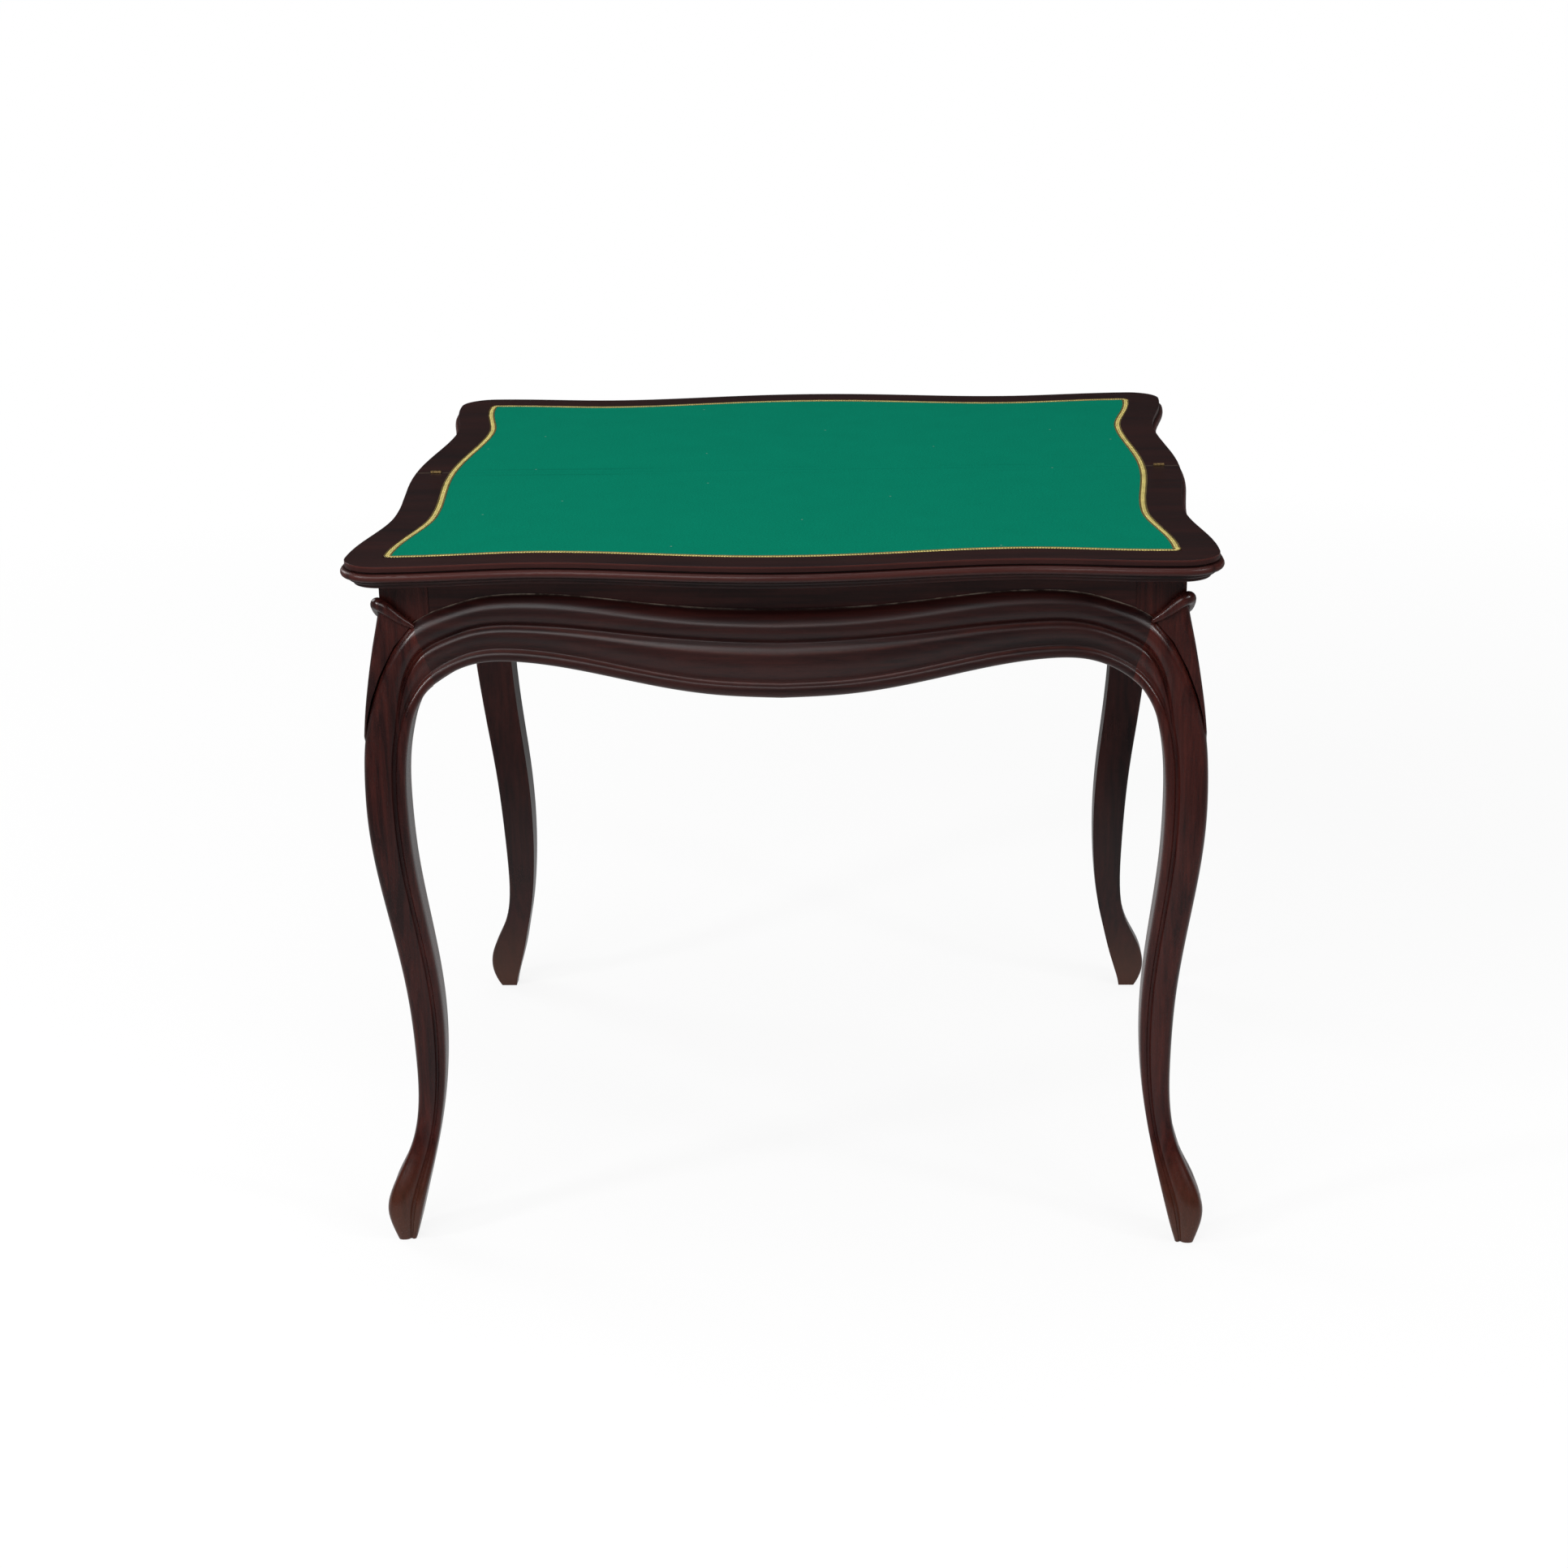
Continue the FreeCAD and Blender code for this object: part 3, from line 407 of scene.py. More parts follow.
def aged_metal(name, light, dark, smooth):
    """Stained and finely scratched metal."""
    made, start = material(name)
    stain = noise(start, stretched(start, (1, 1, 1)), 130, 5.0, 0.65)
    scratch = noise(start, stretched(start, (1500, 90, 300)), 1.0, 2.0, 0.6)
    share = (stain * 0.75 + scratch * 0.25).ramp((0.36, 0.0), (0.62, 1.0))
    return surface(made, start, {
        "Base Color": share.tint(dark, light), "Metallic": 1.0,
        "Roughness": smooth + 0.22 - share * 0.2, "Normal": scratch.bump(0.12, 0.0002)})


def longest_axis(node):
    low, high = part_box(node)
    spans = [high[axis] - low[axis] for axis in range(3)]
    return "XYZ"[spans.index(max(spans))]


def wood_for(node):
    """Polished finish of a node or of its copy: the grain runs along the piece."""
    along = longest_axis(node)
    if node in ("lower_leaf", "upper_leaf"):
        return finish("mahogany_leaf", lambda name: mahogany(
            name, along, 0.28, edged=True, polish=0.26))
    if node == "front_apron":
        return finish("mahogany_frieze", lambda name: mahogany(name, along, 0.62))
    return finish("mahogany_" + along.lower(), lambda name: mahogany(
        name, along, 0.40, foot=along == "Z"))


def nodes_of(slot):
    """Nodes whose finish the record puts in one slot."""
    return [part["node"] for part in frame["record"]["subparts"] if part["material_slot"] == slot]


def repaint(node, made):
    mesh = NODES[node].data
    mesh.materials.clear()
    mesh.materials.append(made)


# Mesh helpers

# Points closer than this, in metres, are one
MERGE = 0.00001


def placed(name, data):
    """A new object in the scene, at the origin."""
    made = bpy.data.objects.new(name, data)
    bpy.context.scene.collection.objects.link(made)
    return made


def shown(mesh, shell, made_of, sharp):
    """A shell as an object, smooth but for edges that turn by more than an angle in degrees."""
    shell.to_mesh(mesh)
    shell.free()
    mesh.shade_smooth()
    mesh.set_sharp_from_angle(angle=math.radians(sharp))
    mesh.materials.append(made_of)
    return placed(mesh.name, mesh)


def piece(name, points, faces, made_of, sharp):
    """A closed mesh with its normals outwards, from points in millimetres."""
    mesh = bpy.data.meshes.new(name)
    mesh.from_pydata((np.asarray(points) * MM).tolist(), [], faces)
    shell = bmesh.new()
    shell.from_mesh(mesh)
    bmesh.ops.recalc_face_normals(shell, faces=shell.faces)
    return shown(mesh, shell, made_of, sharp)


def merged(node):
    """A copy of a node's loose triangles with their points joined."""
    shell = bmesh.new()
    shell.from_mesh(NODES[node].data)
    bmesh.ops.remove_doubles(shell, verts=shell.verts, dist=MERGE)
    return shell


def tube_faces(rings, count):
    """Faces of a closed tube of rings, with both ends capped."""
    faces = []
    last = (rings - 1) * count
    for low in range(0, last, count):
        high = low + count
        for index in range(count):
            after = (index + 1) % count
            faces.append((low + index, low + after, high + after, high + index))
    faces.append(tuple(range(count - 1, -1, -1)))
    faces.append(tuple(range(last, last + count)))
    return faces


def gathered(parts):
    """Joins point and face lists into one pair."""
    points = []
    faces = []
    for some, joined in parts:
        start = len(points)
        points.extend(np.asarray(some).tolist())
        faces.extend([tuple(start + index for index in face) for face in joined])
    return points, faces


def spline(knots, values, places):
    """Smooth curve through values at knots, read at other places."""
    knots = np.asarray(knots, float)
    values = np.asarray(values, float)
    gaps = np.diff(knots)
    slopes = np.diff(values) / gaps
    count = len(knots)
    system = np.eye(count)
    right = np.zeros(count)
    for index in range(1, count - 1):
        before, after = gaps[index - 1], gaps[index]
        system[index, index - 1:index + 2] = before, 2 * (before + after), after
        right[index] = 6 * (slopes[index] - slopes[index - 1])
    bend = np.linalg.solve(system, right)
    places = np.clip(places, knots[0], knots[-1])
    span = np.clip(np.searchsorted(knots, places) - 1, 0, count - 2)
    gap = gaps[span]
    low = (knots[span + 1] - places) / gap
    high = 1 - low
    curve = ((low ** 3 - low) * bend[span] + (high ** 3 - high) * bend[span + 1]) * gap ** 2 / 6
    return low * values[span] + high * values[span + 1] + curve


def eased(knots, values, places):
    """Curve through values at knots that never swings past them."""
    knots = np.asarray(knots, float)
    values = np.asarray(values, float)
    slopes = np.diff(values) / np.diff(knots)
    turns = np.zeros(len(knots))
    inner = slopes[1:] * slopes[:-1]
    both = np.where(inner > 0, slopes[1:] + slopes[:-1], 1)
    turns[1:-1] = np.where(inner > 0, 2 * inner / both, 0)
    turns[0], turns[-1] = slopes[0], slopes[-1]
    places = np.clip(places, knots[0], knots[-1])
    span = np.clip(np.searchsorted(knots, places) - 1, 0, len(knots) - 2)
    gap = knots[span + 1] - knots[span]
    share = (places - knots[span]) / gap
    rise = smooth_step(share)
    near = share * (1 - share) ** 2 * gap * turns[span]
    far = share ** 2 * (share - 1) * gap * turns[span + 1]
    return values[span] * (1 - rise) + values[span + 1] * rise + near + far


def smooth_step(value):
    """0 to 1 with a soft start and end."""
    share = np.clip(value, 0, 1)
    return share ** 2 * (3 - 2 * share)


def mound(values, middle, width):
    """1 at the middle, falling off on both sides."""
    return np.exp(-((values - middle) / width) ** 2)


def lengths_along(run):
    """Distance of each point of a line from its start."""
    return np.concatenate([[0], np.cumsum(np.linalg.norm(np.diff(run, axis=0), axis=1))])


def directions(run):
    """Unit direction of a line at each of its points."""
    along = np.gradient(run, axis=0)
    return along / np.linalg.norm(along, axis=1)[:, None]


# The carved front, in millimetres. One run of mouldings climbs each front leg from the foot, turns
# at the knee and crosses the apron. Each station gives the run's outer line and inner line, as
# distance from the middle of the table and height, and how far forward the roll's crest stands.

RUN = np.array([
    (431.0, 0, 411.2, 0, 401.0), (437.0, 20, 405.6, 20, 407.0), (439.6, 40, 400.6, 40, 409.6),
    (433.2, 62, 395.2, 62, 403.2), (414.6, 101, 386.0, 101, 384.6), (405.8, 140, 378.6, 140, 375.8),
    (404.2, 198, 372.2, 198, 374.2), (407.8, 272, 371.6, 272, 377.8),
    (419.2, 365, 380.0, 365, 389.2), (428.8, 437, 387.0, 437, 398.8),
    (432.3, 491, 389.0, 491, 402.3), (431.8, 535, 388.5, 529, 401.6),
    (429.4, 566, 385.8, 557, 399.6), (425.2, 590, 381.8, 578, 397.4),
    (419.0, 613, 376.6, 596, 394.8), (409.5, 638, 370.0, 609, 392.0),
    (394.5, 666, 363.0, 618.5, 389.4), (373.0, 691, 354.5, 626, 387.4),
    (342.0, 706, 339.5, 636, 386.2), (308.0, 716, 312.0, 646.5, 386.0),
    (264.0, 720, 267.0, 648.0, 386.2), (206.0, 717.6, 207.0, 639.5, 388.0),
    (140.0, 710, 140.0, 625.5, 391.0), (70.0, 704, 70.0, 614.6, 394.0),
    (0.0, 702, 0.0, 611.0, 395.0),
])
KNEE_STATION = 17

# Section across the run: share of its width and depth below the crest, on the leg, on the apron by
# the knee and at the middle of the apron. Broad roll, quirk, band, hollow, quirk, bead.
LEG_SECTION = np.array([
    (0, -14), (0.015, -10), (0.05, -5.6), (0.13, -1.9), (0.30, 0), (0.45, -0.5), (0.57, -2.3),
    (0.66, -4.9), (0.70, -6.9), (0.713, -7.2), (0.722, -7.0), (0.73, -6.9), (0.738, -6.8),
    (0.746, -6.9), (0.754, -7.0), (0.762, -7.1), (0.772, -6.9), (0.79, -5.6), (0.83, -4.6),
    (0.88, -4.4), (0.93, -5.1), (0.975, -7), (1, -9.5),
])
APRON_SECTION = np.array([
    (0, -15), (0.02, -11), (0.055, -6.5), (0.11, -2.6), (0.19, -0.3), (0.26, -0.4), (0.33, -2.4),
    (0.39, -5.4), (0.43, -8.2), (0.448, -8.8), (0.466, -8.0), (0.505, -5.2), (0.55, -4.0),
    (0.61, -4.6), (0.69, -7.4), (0.76, -10), (0.80, -10.8), (0.825, -9.6), (0.86, -7.2),
    (0.90, -6.3), (0.945, -6.9), (0.98, -9), (1, -12),
])
MIDDLE_SECTION = np.array([
    (0, -24), (0.018, -15), (0.05, -9), (0.10, -4.2), (0.16, -1.2), (0.21, -0.8), (0.265, -2.4),
    (0.31, -4.8), (0.338, -6.6), (0.35, -7.0), (0.364, -6.2), (0.42, -2.8), (0.50, -0.6),
    (0.58, -0.9), (0.68, -3.8), (0.77, -8), (0.815, -10), (0.838, -9.2), (0.868, -7.0),
    (0.905, -6.3), (0.945, -7.0), (0.98, -9.2), (1, -12),
])
SECTION_STEPS = 66
LEG_WIDTH = 42

# Stations at which one section begins to turn into the next, and over how many it does so
APRON_FROM, APRON_SPAN = 12.5, 4.5
MIDDLE_FROM, MIDDLE_SPAN = 20, 3.2

# Thickness of the run on a leg, how far it is let into the apron, and how far an end ring of a leg
# slips under the apron's stretch, which it overlaps by some rings
RUN_DEPTH = 17
APRON_SUNK = 6
END_SUNK = 0.6
OVERLAP = 2

# Where the carving is rubbed, as shares of its width, and how strongly
QUIRK_PLACES = (0.465, 0.83)
BEAD_EDGE = 0.985
RUB_WIDTH = 0.012
RUB_STRENGTH = 0.35
CARVED_SHARP = 38


def run_stations(count):
    """Half of the run, from the foot to the middle, at evenly spaced stations."""
    knots = lengths_along((RUN[:, 0:2] + RUN[:, 2:4]) / 2)
    places = np.linspace(0, knots[-1], count)
    rows = np.stack([spline(knots, column, places) for column in RUN.T], axis=1)
    rows[:, 1] = np.maximum(rows[:, 1], 0)
    rows[:, 3] = np.maximum(rows[:, 3], 0)
    numbers = np.interp(places, knots, np.arange(len(knots)))
    return rows, numbers


def run_section(number, row):
    """Shares and depths across the run at one station, and how far the station is on the apron."""
    on_apron = smooth_step((number - APRON_FROM) / APRON_SPAN)
    at_middle = smooth_step((number - MIDDLE_FROM) / MIDDLE_SPAN)
    upper = APRON_SECTION * (1 - at_middle) + MIDDLE_SECTION * at_middle
    width = math.hypot(row[0] - row[2], row[1] - row[3])
    lower = LEG_SECTION * (1, min(width / LEG_WIDTH, 1))
    marks = lower * (1 - on_apron) + upper * on_apron
    steps = np.linspace(0, 1, SECTION_STEPS)
    shares = np.interp(steps, np.linspace(0, 1, len(marks)), marks[:, 0])
    depths = eased(marks[:, 0], marks[:, 1], shares)
    return shares, depths, on_apron


def carved_run():
    """Rings of the whole run from the left foot to the right foot, each point's dust and rubbing,
    and the ring at which the apron's stretch begins."""
    rows, numbers = run_stations(sizes().carving_stations)
    rings = []
    wears = []
    rubs = []
    for row, number in zip(rows, numbers):
        shares, depths, on_apron = run_section(number, row)
        away = row[0] + (row[2] - row[0]) * shares
        height = row[1] + (row[3] - row[1]) * shares
        forward = row[4] + depths
        back = (row[4] - RUN_DEPTH) * (1 - on_apron) + (FRIEZE - APRON_SUNK) * on_apron
        ring = np.stack([away, -forward, height], axis=1)
        rear = np.array([(row[2], -back, row[3]), (row[0], -back, row[1])])
        rings.append(np.concatenate([ring, rear]))
        line = mound(forward - FRIEZE, 0.6, 1.1) * (shares < 0.1) * on_apron
        quirks = sum(mound(shares, place, RUB_WIDTH) for place in QUIRK_PLACES)
        edge = mound(shares, BEAD_EDGE, RUB_WIDTH)
        rub = quirks * on_apron * RUB_STRENGTH + edge * RUB_STRENGTH
        wears.append(np.concatenate([line, [0, 0]]))
        rubs.append(np.concatenate([rub, [0, 0]]))
    left = [ring * (-1, 1, 1) for ring in rings]
    seam = int(np.searchsorted(numbers, KNEE_STATION))
    return (left + rings[-2::-1], np.array(wears + wears[-2::-1]), np.array(rubs + rubs[-2::-1]),
            seam)


def run_part(rings, first, last, sunk=()):
    """Stretch of the run as a closed tube, its sunk end rings drawn back under the next stretch."""
    some = [ring.copy() for ring in rings[first:last]]
    for end in sunk:
        some[end][:, 1] += END_SUNK
    return np.concatenate(some), tube_faces(len(some), len(some[0]))


def mark(made, name, values):
    """A float attribute on the first points of a mesh, zero on the rest."""
    row = np.zeros(len(made.data.vertices), np.float32)
    row[:len(values)] = values
    made.data.attributes.new(name, "FLOAT", "POINT").data.foreach_set("value", row)


# A front leg behind its carving, in millimetres: heights of the knee and of the square post, the
# post's sides, and the knee's inner and outer lines as height and distance from the middle. The
# leg's back and front lines are its inner and outer lines, moved by the front shift.
LEG_STATIONS = 12
KNEE_FOOT, KNEE_TOP, POST_FOOT = 540, 622, 722
POST_INNER, POST_OUTER = 357, 407
FRONT_SHIFT = 30
KNEE_INNER = np.array([
    (557, 385.8), (578, 381.8), (596, 376.6), (609, 370), (618, 363), (624, POST_INNER),
    (640, POST_INNER), (FRAME_TOP, POST_INNER),
])
KNEE_OUTER = np.array([
    (566, 430.2), (596, 427.4), (630, 422.6), (665, 416.6), (690, 411.5), (703, 409),
    (712, POST_OUTER), (FRAME_TOP, POST_OUTER),
])
UNDER_POINTS, KNEE_POINTS, FLANK_POINTS = 22, 24, 12

# The lip at the top of the knee: where it starts on the front face and how it climbs there, its
# path over both outer faces, its thickness along it and the middle of the post that it goes round
LIP_FOOT = (375.0, 690.0)
LIP_SLOPE = 21 / 33
LIP_PATH = np.array([
    (372.5, -380.0, 687.5), (378.5, -380.6, 691.5), (386.0, -380.8, 696.5), (393.5, -380.6, 702.5),
    (400.0, -380.0, 708.0), (405.2, -378.6, 710.8), (408.6, -375.2, 710.8), (410.0, -370.0, 708.0),
    (410.6, -363.5, 702.5), (410.8, -356.0, 696.5), (410.6, -348.5, 691.5), (410.0, -342.5, 687.5),
])
LIP_GIRTH = (0.30, 0.52, 0.72, 0.88, 0.98, 1.0, 1.0, 0.98, 0.88, 0.72, 0.52, 0.30)
POST_MIDDLE = (383, -353, 0)
LIP_RINGS, LIP_SIDES = 44, 18


def leg_lines(heights):
    """Inner line, outer line, outer edge of the roll and crest at each height of a front leg."""
    low = RUN[:LEG_STATIONS]
    inner = spline([*low[:, 3], *KNEE_INNER[:, 0]], [*low[:, 2], *KNEE_INNER[:, 1]], heights)
    inner = np.where(heights > KNEE_TOP, POST_INNER, np.maximum(inner, POST_INNER))
    outer = eased([*low[:, 1], *KNEE_OUTER[:, 0]], [*low[:, 0], *KNEE_OUTER[:, 1]], heights)
    turn = RUN[LEG_STATIONS - 1:KNEE_STATION + 3]
    roll = np.where(heights < turn[0, 1], outer, np.interp(heights, turn[:, 1], turn[:, 0]))
    rising = RUN[:KNEE_STATION + 2]
    crest = np.interp(heights, rising[:, 1], rising[:, 4])
    return inner, outer, np.minimum(roll, outer), crest


def leg_core(sign):
    """Body of a front leg behind the carving, with the knee face and the square post."""
    heights = np.concatenate([
        np.arange(0, KNEE_FOOT, 7.5), np.arange(KNEE_FOOT, POST_FOOT, 2.6), [726, 735, FRAME_TOP]])
    rings = []
    for z, low, high, edge, top in zip(heights, *leg_lines(heights)):
        rear = (low if z < KNEE_TOP else POST_INNER) - FRONT_SHIFT
        face = high - FRONT_SHIFT
        scale = min((high - low) / LEG_WIDTH, 1)
        sunk = np.interp(z, [0, KNEE_FOOT, 585, 620], [9 * scale, 9, 15, 19])
        opened = np.clip((high - edge) / 1.5, 0, 1)
        edge = max(min(edge, high - 3), low + 1)
        across = np.concatenate([
            np.linspace(low + 0.1, edge, UNDER_POINTS),
            np.linspace(edge, high - 0.3, KNEE_POINTS)])
        under = (np.arange(len(across)) < UNDER_POINTS) & (edge > low + 1)
        lip = LIP_FOOT[1] + (across - LIP_FOOT[0]) * LIP_SLOPE
        # The knee face rises from a valley beside the roll to the leg's own front line
        share = np.clip((across - edge) / max(high - edge, 1), 0, 1)
        valley = top - min(9, 1.5 + 0.35 * (high - edge))
        knee = valley + (face - 1 - valley) * share ** 0.8
        knee = top - 15 + (knee - top + 15) * opened
        above = np.where(z > lip, POST_FACE, np.minimum(knee, face))
        depth = np.where(under, top - sunk, above)
        if z > POST_FOOT:
            depth = np.full_like(across, POST_FACE)
        # The outer corner is rounded, broadly at the knee and hardly at all on the post
        nose = np.interp(z, [555, 640, 700, 712, 716], [14, 9, 7, 5, 1.2])
        nose = min(nose, (high - low) / 3)
        past = np.clip(across - (high - nose), 0, nose)
        depth = depth - (nose - np.sqrt(nose ** 2 - past ** 2))
        side = np.linspace(depth[-1], rear + 1.5, FLANK_POINTS)
        bow = np.sin(np.linspace(0, np.pi, FLANK_POINTS)) * (0.8 if z < 700 else 0)
        front = np.stack([across, -depth], axis=1)
        flank = np.stack([high - 0.3 + bow * 0.3, -side], axis=1)[1:]
        back = np.array([(high - 1.8, -rear), (low + 1.9, -rear), (low + 0.1, -rear - 1.5)])
        ring = np.concatenate([front, flank, back])
        rings.append(np.concatenate([ring, np.full((len(ring), 1), z)], axis=1))
    points = np.concatenate(rings) * (sign, 1, 1)
    return points, tube_faces(len(rings), len(rings[0]))


def leg_lip(sign):
    """Rounded lip that falls from the outer corner of the post across both outer faces."""
    knots = np.linspace(0, 1, len(LIP_PATH))
    places = np.linspace(0, 1, LIP_RINGS)
    path = np.stack([spline(knots, column, places) for column in LIP_PATH.T], axis=1)
    girth = spline(knots, LIP_GIRTH, places) * sizes().lip_radius / MM
    along = directions(path)
    out = path - POST_MIDDLE
    out[:, 2] = 0
    out -= along * (out * along).sum(1)[:, None]
    out /= np.linalg.norm(out, axis=1)[:, None]
    up = np.cross(out, along)
    turns = np.linspace(0, 2 * np.pi, LIP_SIDES, endpoint=False)[:, None]
    rings = [point + reach * (np.cos(turns) * first + np.sin(turns) * second)
             for point, reach, first, second in zip(path, girth, out, up)]
    points = np.concatenate(rings) * (sign, 1, 1)
    return points, tube_faces(len(rings), LIP_SIDES)


class OBJECT_OT_table_carved_legs(bpy.types.Operator):
    """Front legs with the carved run, the knee face and the lip"""
    bl_idname = "object.table_carved_legs"
    bl_label = "Carved front legs"

    def execute(self, context):
        rings, wears, rubs, seam = carved_run()
        wood = finish("carved_mahogany_leg", lambda name: mahogany(
            name, "Z", 0.70, worn=True, foot=True, polish=0.12))
        reach = seam + OVERLAP
        for node, sign, first, last, sunk in (
                ("front_left_leg", -1, 0, reach, -1),
                ("front_right_leg", 1, len(rings) - reach, len(rings), 0)):
            run = run_part(rings, first, last, [sunk])
            points, faces = gathered([run, leg_core(sign), leg_lip(sign)])
            made = piece("carved_" + node, points, faces, wood, CARVED_SHARP)
            mark(made, "wear", wears[first:last].ravel())
            mark(made, "rub", rubs[first:last].ravel())
            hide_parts(node)
            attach(made, "front_frame")
        return {"FINISHED"}


class OBJECT_OT_table_carved_apron(bpy.types.Operator):
    """Carved moulding of the apron, in one flow with the legs"""
    bl_idname = "object.table_carved_apron"
    bl_label = "Carved apron moulding"

    def execute(self, context):
        rings, wears, rubs, seam = carved_run()
        first, last = seam, len(rings) - seam
        points, faces = run_part(rings, first, last)
        wood = finish("carved_mahogany_apron", lambda name: mahogany(
            name, "X", 0.38, worn=True, polish=0.24))
        made = piece("carved_apron", points, faces, wood, CARVED_SHARP)
        mark(made, "wear", wears[first:last].ravel())
        mark(made, "rub", rubs[first:last].ravel())
        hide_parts("apron_moulding")
        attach(made, "front_frame")
        return {"FINISHED"}


# Leaves and bed mouldings, in metres and degrees. An edge is rounded over where two faces meet
# squarely at one of the wanted levels; faces within the flat angle are one face.
FLAT_ANGLE = 0.4
SQUARE_ANGLE = 60
EASED_SHARP = 18
LEVEL_SLACK = 0.00005
LEAF_MIDDLE = 0.2
FOLD_CLEAR = 0.001
BAND_HEIGHT = 0.006
BED_STEP = 0.004
LEAF_ROUNDING = 0.0010
BED_ROUNDING = 0.0020


def eased_copy(node, name, levels, width):
    """A copy of a node whose outer level edges at some heights are rounded over."""
    shell = merged(node)
    bmesh.ops.dissolve_limit(
        shell, angle_limit=math.radians(FLAT_ANGLE), verts=shell.verts, edges=shell.edges)
    shell.normal_update()
    chosen = []
    for edge in shell.edges:
        first, last = (vert.co for vert in edge.verts)
        level = min(levels, key=lambda height: abs(height - first.z))
        slack = max(abs(first.z - level), abs(last.z - level))
        if slack > LEVEL_SLACK or len(edge.link_faces) != 2:
            continue
        if not edge.is_convex or edge.calc_face_angle() < math.radians(SQUARE_ANGLE):
            continue
        upright = min(edge.link_faces, key=lambda face: abs(face.normal.z))
        middle = (first + last) / 2
        outward = Vector((middle.x, middle.y - math.copysign(LEAF_MIDDLE, middle.y), 0))
        if upright.normal.dot(outward) > 0 and abs(middle.y) > FOLD_CLEAR:
            chosen.append(edge)
    bmesh.ops.bevel(shell, geom=chosen, offset=width, offset_type="OFFSET", segments=3, profile=0.5,
                    affect="EDGES", clamp_overlap=True)
    return shown(bpy.data.meshes.new(name), shell, wood_for(node), EASED_SHARP)


class OBJECT_OT_table_eased_edges(bpy.types.Operator):
    """Leaves and bed mouldings with their edges rounded over"""
    bl_idname = "object.table_eased_edges"
    bl_label = "Rounded edges"

    def execute(self, context):
        leaf_top = LEAF_LOW + LEAF_RISE
        leaf = (leaf_top, leaf_top - BAND_HEIGHT), LEAF_ROUNDING
        bed = (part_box("front_bed_moulding")[0][2], LEAF_LOW - BED_STEP), BED_ROUNDING
        for node, body, (levels, width) in (
                ("lower_leaf", "front_frame", leaf),
                ("upper_leaf", "upper_leaf", leaf),
                ("front_bed_moulding", "front_frame", bed),
                ("left_bed_moulding", "front_frame", bed),
                ("right_bed_moulding", "front_frame", bed)):
            made = eased_copy(node, node + "_eased", levels, width)
            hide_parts(node)
            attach(made, body)
        return {"FINISHED"}


# Baize, in metres: how level an upper face has to be, height of the pile's ripple, and the creases
# by the fold
LEVEL_FACE = 0.0001
RIPPLE_HEIGHT = 0.00008
CREASE_DEPTH = 0.00018
CREASE_WIDTH = 0.002
CLOTH_SHARP = 50


def upper_rim(node):
    """Outline of a node's upper face as an ordered loop of points."""
    shell = merged(node)
    top = max(vert.co.z for vert in shell.verts)
    counts = {}
    for face in shell.faces:
        if min(vert.co.z for vert in face.verts) > top - LEVEL_FACE:
            for edge in face.edges:
                counts[edge] = counts.get(edge, 0) + 1
    links = {}
    for edge, number in counts.items():
        if number == 1:
            first, second = edge.verts
            links.setdefault(first, []).append(second)
            links.setdefault(second, []).append(first)
    here = next(iter(links))
    before = None
    loop = []
    while not loop or (here.co - loop[0]).length >= MERGE:
        loop.append(here.co.copy())
        onward = [vert for vert in links[here] if vert is not before]
        before, here = here, onward[0]
    shell.free()
    return np.array(loop)


def rim_sides(node):
    """The four sides of a node's outline: fold, right, outer and left, from corner to corner."""
    loop = upper_rim(node)
    outward = 1 if loop[:, 1].mean() > 0 else -1
    flat = loop[:, :2] * (1, outward)
    corners = [int(np.argmax(flat @ way)) for way in ((-1, -1), (1, -1), (1, 1), (-1, 1))]
    sides = []
    for start, end in zip(corners, corners[1:] + corners[:1]):
        forward = np.roll(loop, -start, axis=0)[:(end - start) % len(loop) + 1]
        back = np.roll(loop[::-1], start - len(loop) + 1, axis=0)[:(start - end) % len(loop) + 1]
        sides.append(min((forward, back), key=lambda run: lengths_along(run)[-1]))
    return sides


def even(run, count):
    """A line of points divided evenly along its length."""
    places = lengths_along(run)
    wanted = np.linspace(0, places[-1], count)
    return np.stack([np.interp(wanted, places, column) for column in run.T], axis=1)


